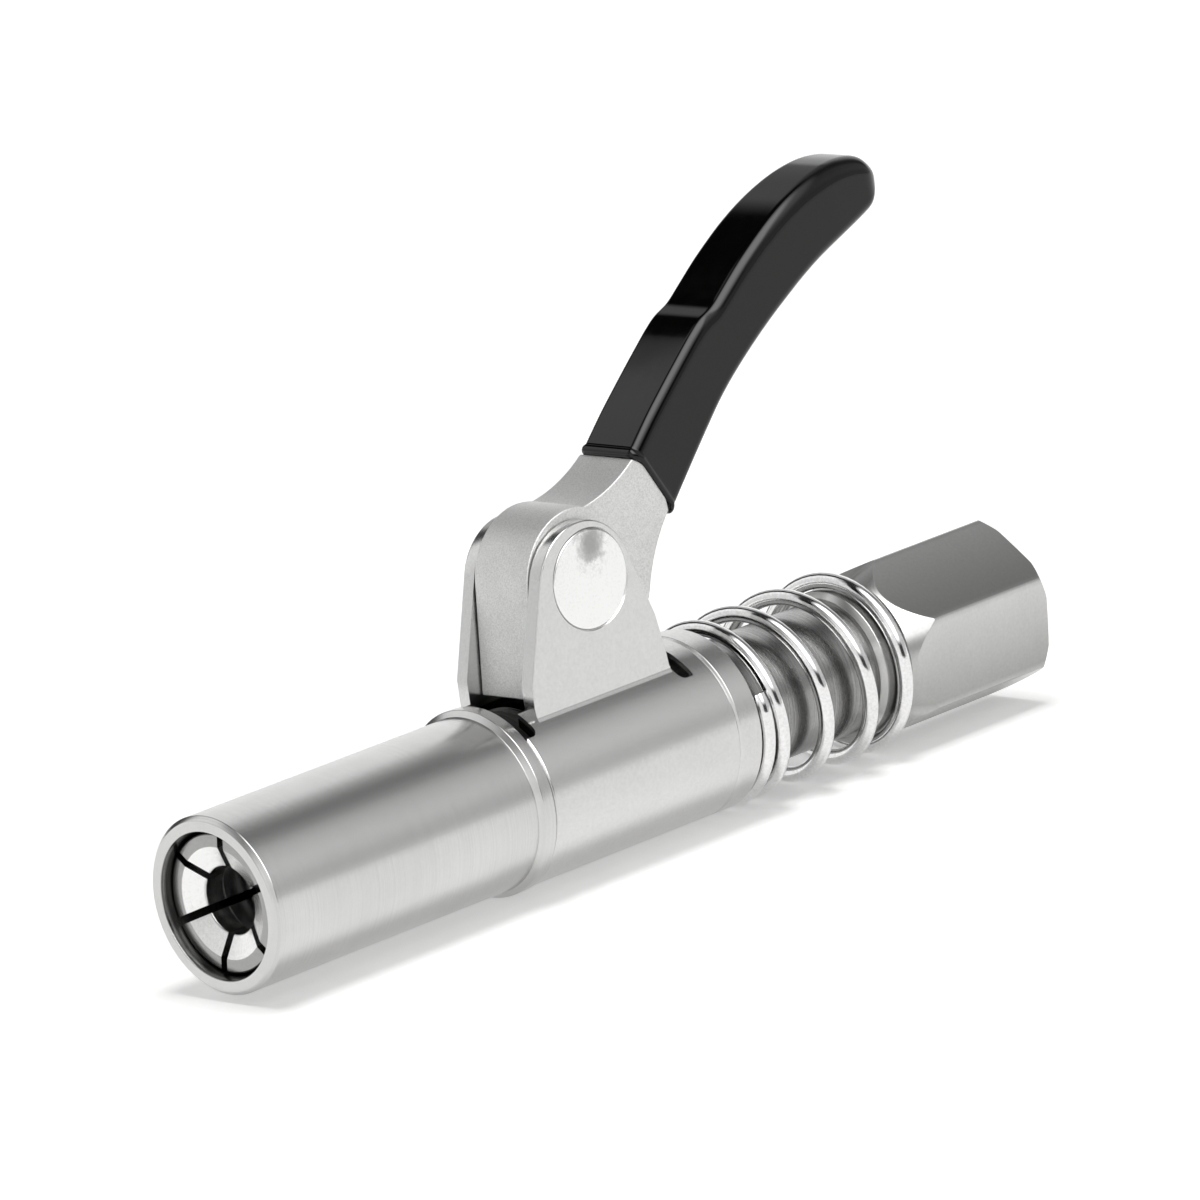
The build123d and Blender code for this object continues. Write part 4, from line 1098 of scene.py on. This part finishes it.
def makeSurround():
    # pale walls with a dim strip of ceiling between them, a dark card above the part, tones
    # behind it, and a long strip light in front
    v = studio
    world = bpy.data.worlds.new("studioSurround")
    bpy.context.scene.world = world
    world.use_nodes = True
    tree = world.node_tree
    tree.nodes.clear()
    where = addNode(tree, "ShaderNodeTexCoord")
    parts = addNode(tree, "ShaderNodeSeparateXYZ", i0=(where, "Generated"))
    times = {"operation": "MULTIPLY"}
    front = addNode(tree, "ShaderNodeMath", times, i0=(parts, "Y"), i1=-1.0)
    turn = addNode(tree, "ShaderNodeMath", {"operation": "ARCTAN2"}, i0=(front, 0), i1=(parts, "Z"))
    turned = addNode(tree, "ShaderNodeMapRange", i0=(turn, 0), i1=-np.pi, i2=np.pi, i3=0.0, i4=1.0)
    along = addNode(tree, "ShaderNodeMapRange", i0=(parts, "X"), i1=-1.0, i2=1.0, i3=0.0, i4=1.0)
    tones = {}
    for name in ("wallsRound", "wallsAlong", "cardAlong", "rearAlong", "rearTones", "stripRound",
                 "stripAlong"):
        source = turned if name.endswith("Round") else along
        tones[name] = addNode(tree, "ShaderNodeValToRGB", i0=(source, 0), stops=v[name]), 0
    start, end = v["rearBegins"]
    isRear = addNode(tree, "ShaderNodeMapRange", i0=(turned, 0), i1=start, i2=end, i3=1.0, i4=0.0), 0
    walls = addNode(tree, "ShaderNodeMixRGB", {"blend_type": "MULTIPLY"}, i0=1.0, i1=tones["wallsRound"],
                    i2=tones["wallsAlong"])
    card = addNode(tree, "ShaderNodeMixRGB", i0=isRear, i1=linear(v["cardColour"]), i2=tones["rearTones"])
    inCard = addNode(tree, "ShaderNodeMixRGB", i0=isRear, i1=tones["cardAlong"], i2=tones["rearAlong"])
    around = addNode(tree, "ShaderNodeMixRGB", i0=(inCard, 0), i1=(walls, 0), i2=(card, 0))
    strip = addNode(tree, "ShaderNodeMath", times, i0=tones["stripRound"], i1=tones["stripAlong"])
    strip = addNode(tree, "ShaderNodeMath", times, i0=(strip, 0), i1=v["stripStrength"])
    mirror = addNode(tree, "ShaderNodeMixRGB", {"blend_type": "ADD"}, i0=1.0, i1=(around, 0), i2=(strip, 0))
    rays = addNode(tree, "ShaderNodeLightPath")
    plain = addNode(tree, "ShaderNodeBackground", Color=(1, 1, 1, 1), Strength=v["surround"])
    mirrored = addNode(tree, "ShaderNodeBackground", Color=(mirror, 0), Strength=1.0)
    white = addNode(tree, "ShaderNodeBackground", Color=(1, 1, 1, 1), Strength=1.0)
    lit = addNode(tree, "ShaderNodeMixShader", i0=(rays, "Is Glossy Ray"), i1=(plain, 0), i2=(mirrored, 0))
    clear = addNode(tree, "ShaderNodeMath", {"operation": "MAXIMUM"}, i0=(rays, "Is Camera Ray"),
                    i1=(rays, "Is Transmission Ray"))
    seen = addNode(tree, "ShaderNodeMixShader", i0=(clear, 0), i1=(lit, 0), i2=(white, 0))
    addNode(tree, "ShaderNodeOutputWorld", Surface=(seen, 0))


makeFloor()
makeSurround()

# lamps: place and aim in millimetres, size and power
lamps = {
    "overheadSoftbox": dict(place=(-50, -150, 1700), aim=(-50, 0, 5), size=600, power=16.0),
    "backSoftbox": dict(place=(120, 520, 380), aim=(-50, 0, 5), size=480, power=0.3),
}


def makeLamps():
    for name, v in lamps.items():
        light = bpy.data.lights.new(name, "AREA")
        light.shape = "SQUARE"
        light.size = v["size"] * mm
        light.energy = v["power"]
        lamp = bpy.data.objects.new(name, light)
        bpy.context.scene.collection.objects.link(lamp)
        place, aim = Vector(v["place"]) * mm, Vector(v["aim"]) * mm
        lamp.location = place
        lamp.rotation_euler = (aim - place).to_track_quat("-Z", "Y").to_euler()
        lamp.visible_glossy = False  # metal mirrors the floor and the surround, not the lamps


makeLamps()

# camera: fitted to the photograph's view, with its small roll
photoView = {"place": (-689.6, -693.45, 244.37), "azimuth": -42.739, "elevation": 13.714, "roll": -8.204,
             "lens": 323.49}


def makeCamera():
    v = photoView
    a, b, c = np.radians([v["azimuth"], v["elevation"], v["roll"]])
    right = np.array([np.cos(a), np.sin(a), 0])
    back = np.array([np.sin(a) * np.cos(b), -np.cos(a) * np.cos(b), np.sin(b)])
    up = np.cross(back, right)
    turned = np.column_stack([np.cos(c) * right + np.sin(c) * up, np.cos(c) * up - np.sin(c) * right, back])
    data = bpy.data.cameras.new("photoCamera")
    data.lens = v["lens"]
    data.sensor_width = 36
    data.clip_start = 0.01
    camera = bpy.data.objects.new("photoCamera", data)
    bpy.context.scene.collection.objects.link(camera)
    camera.matrix_world = Matrix.Translation(Vector(v["place"]) * mm) @ Matrix(turned.tolist()).to_4x4()
    bpy.context.scene.camera = camera


makeCamera()
bpy.context.scene.view_settings.view_transform = "Standard"
print("studio and camera set")
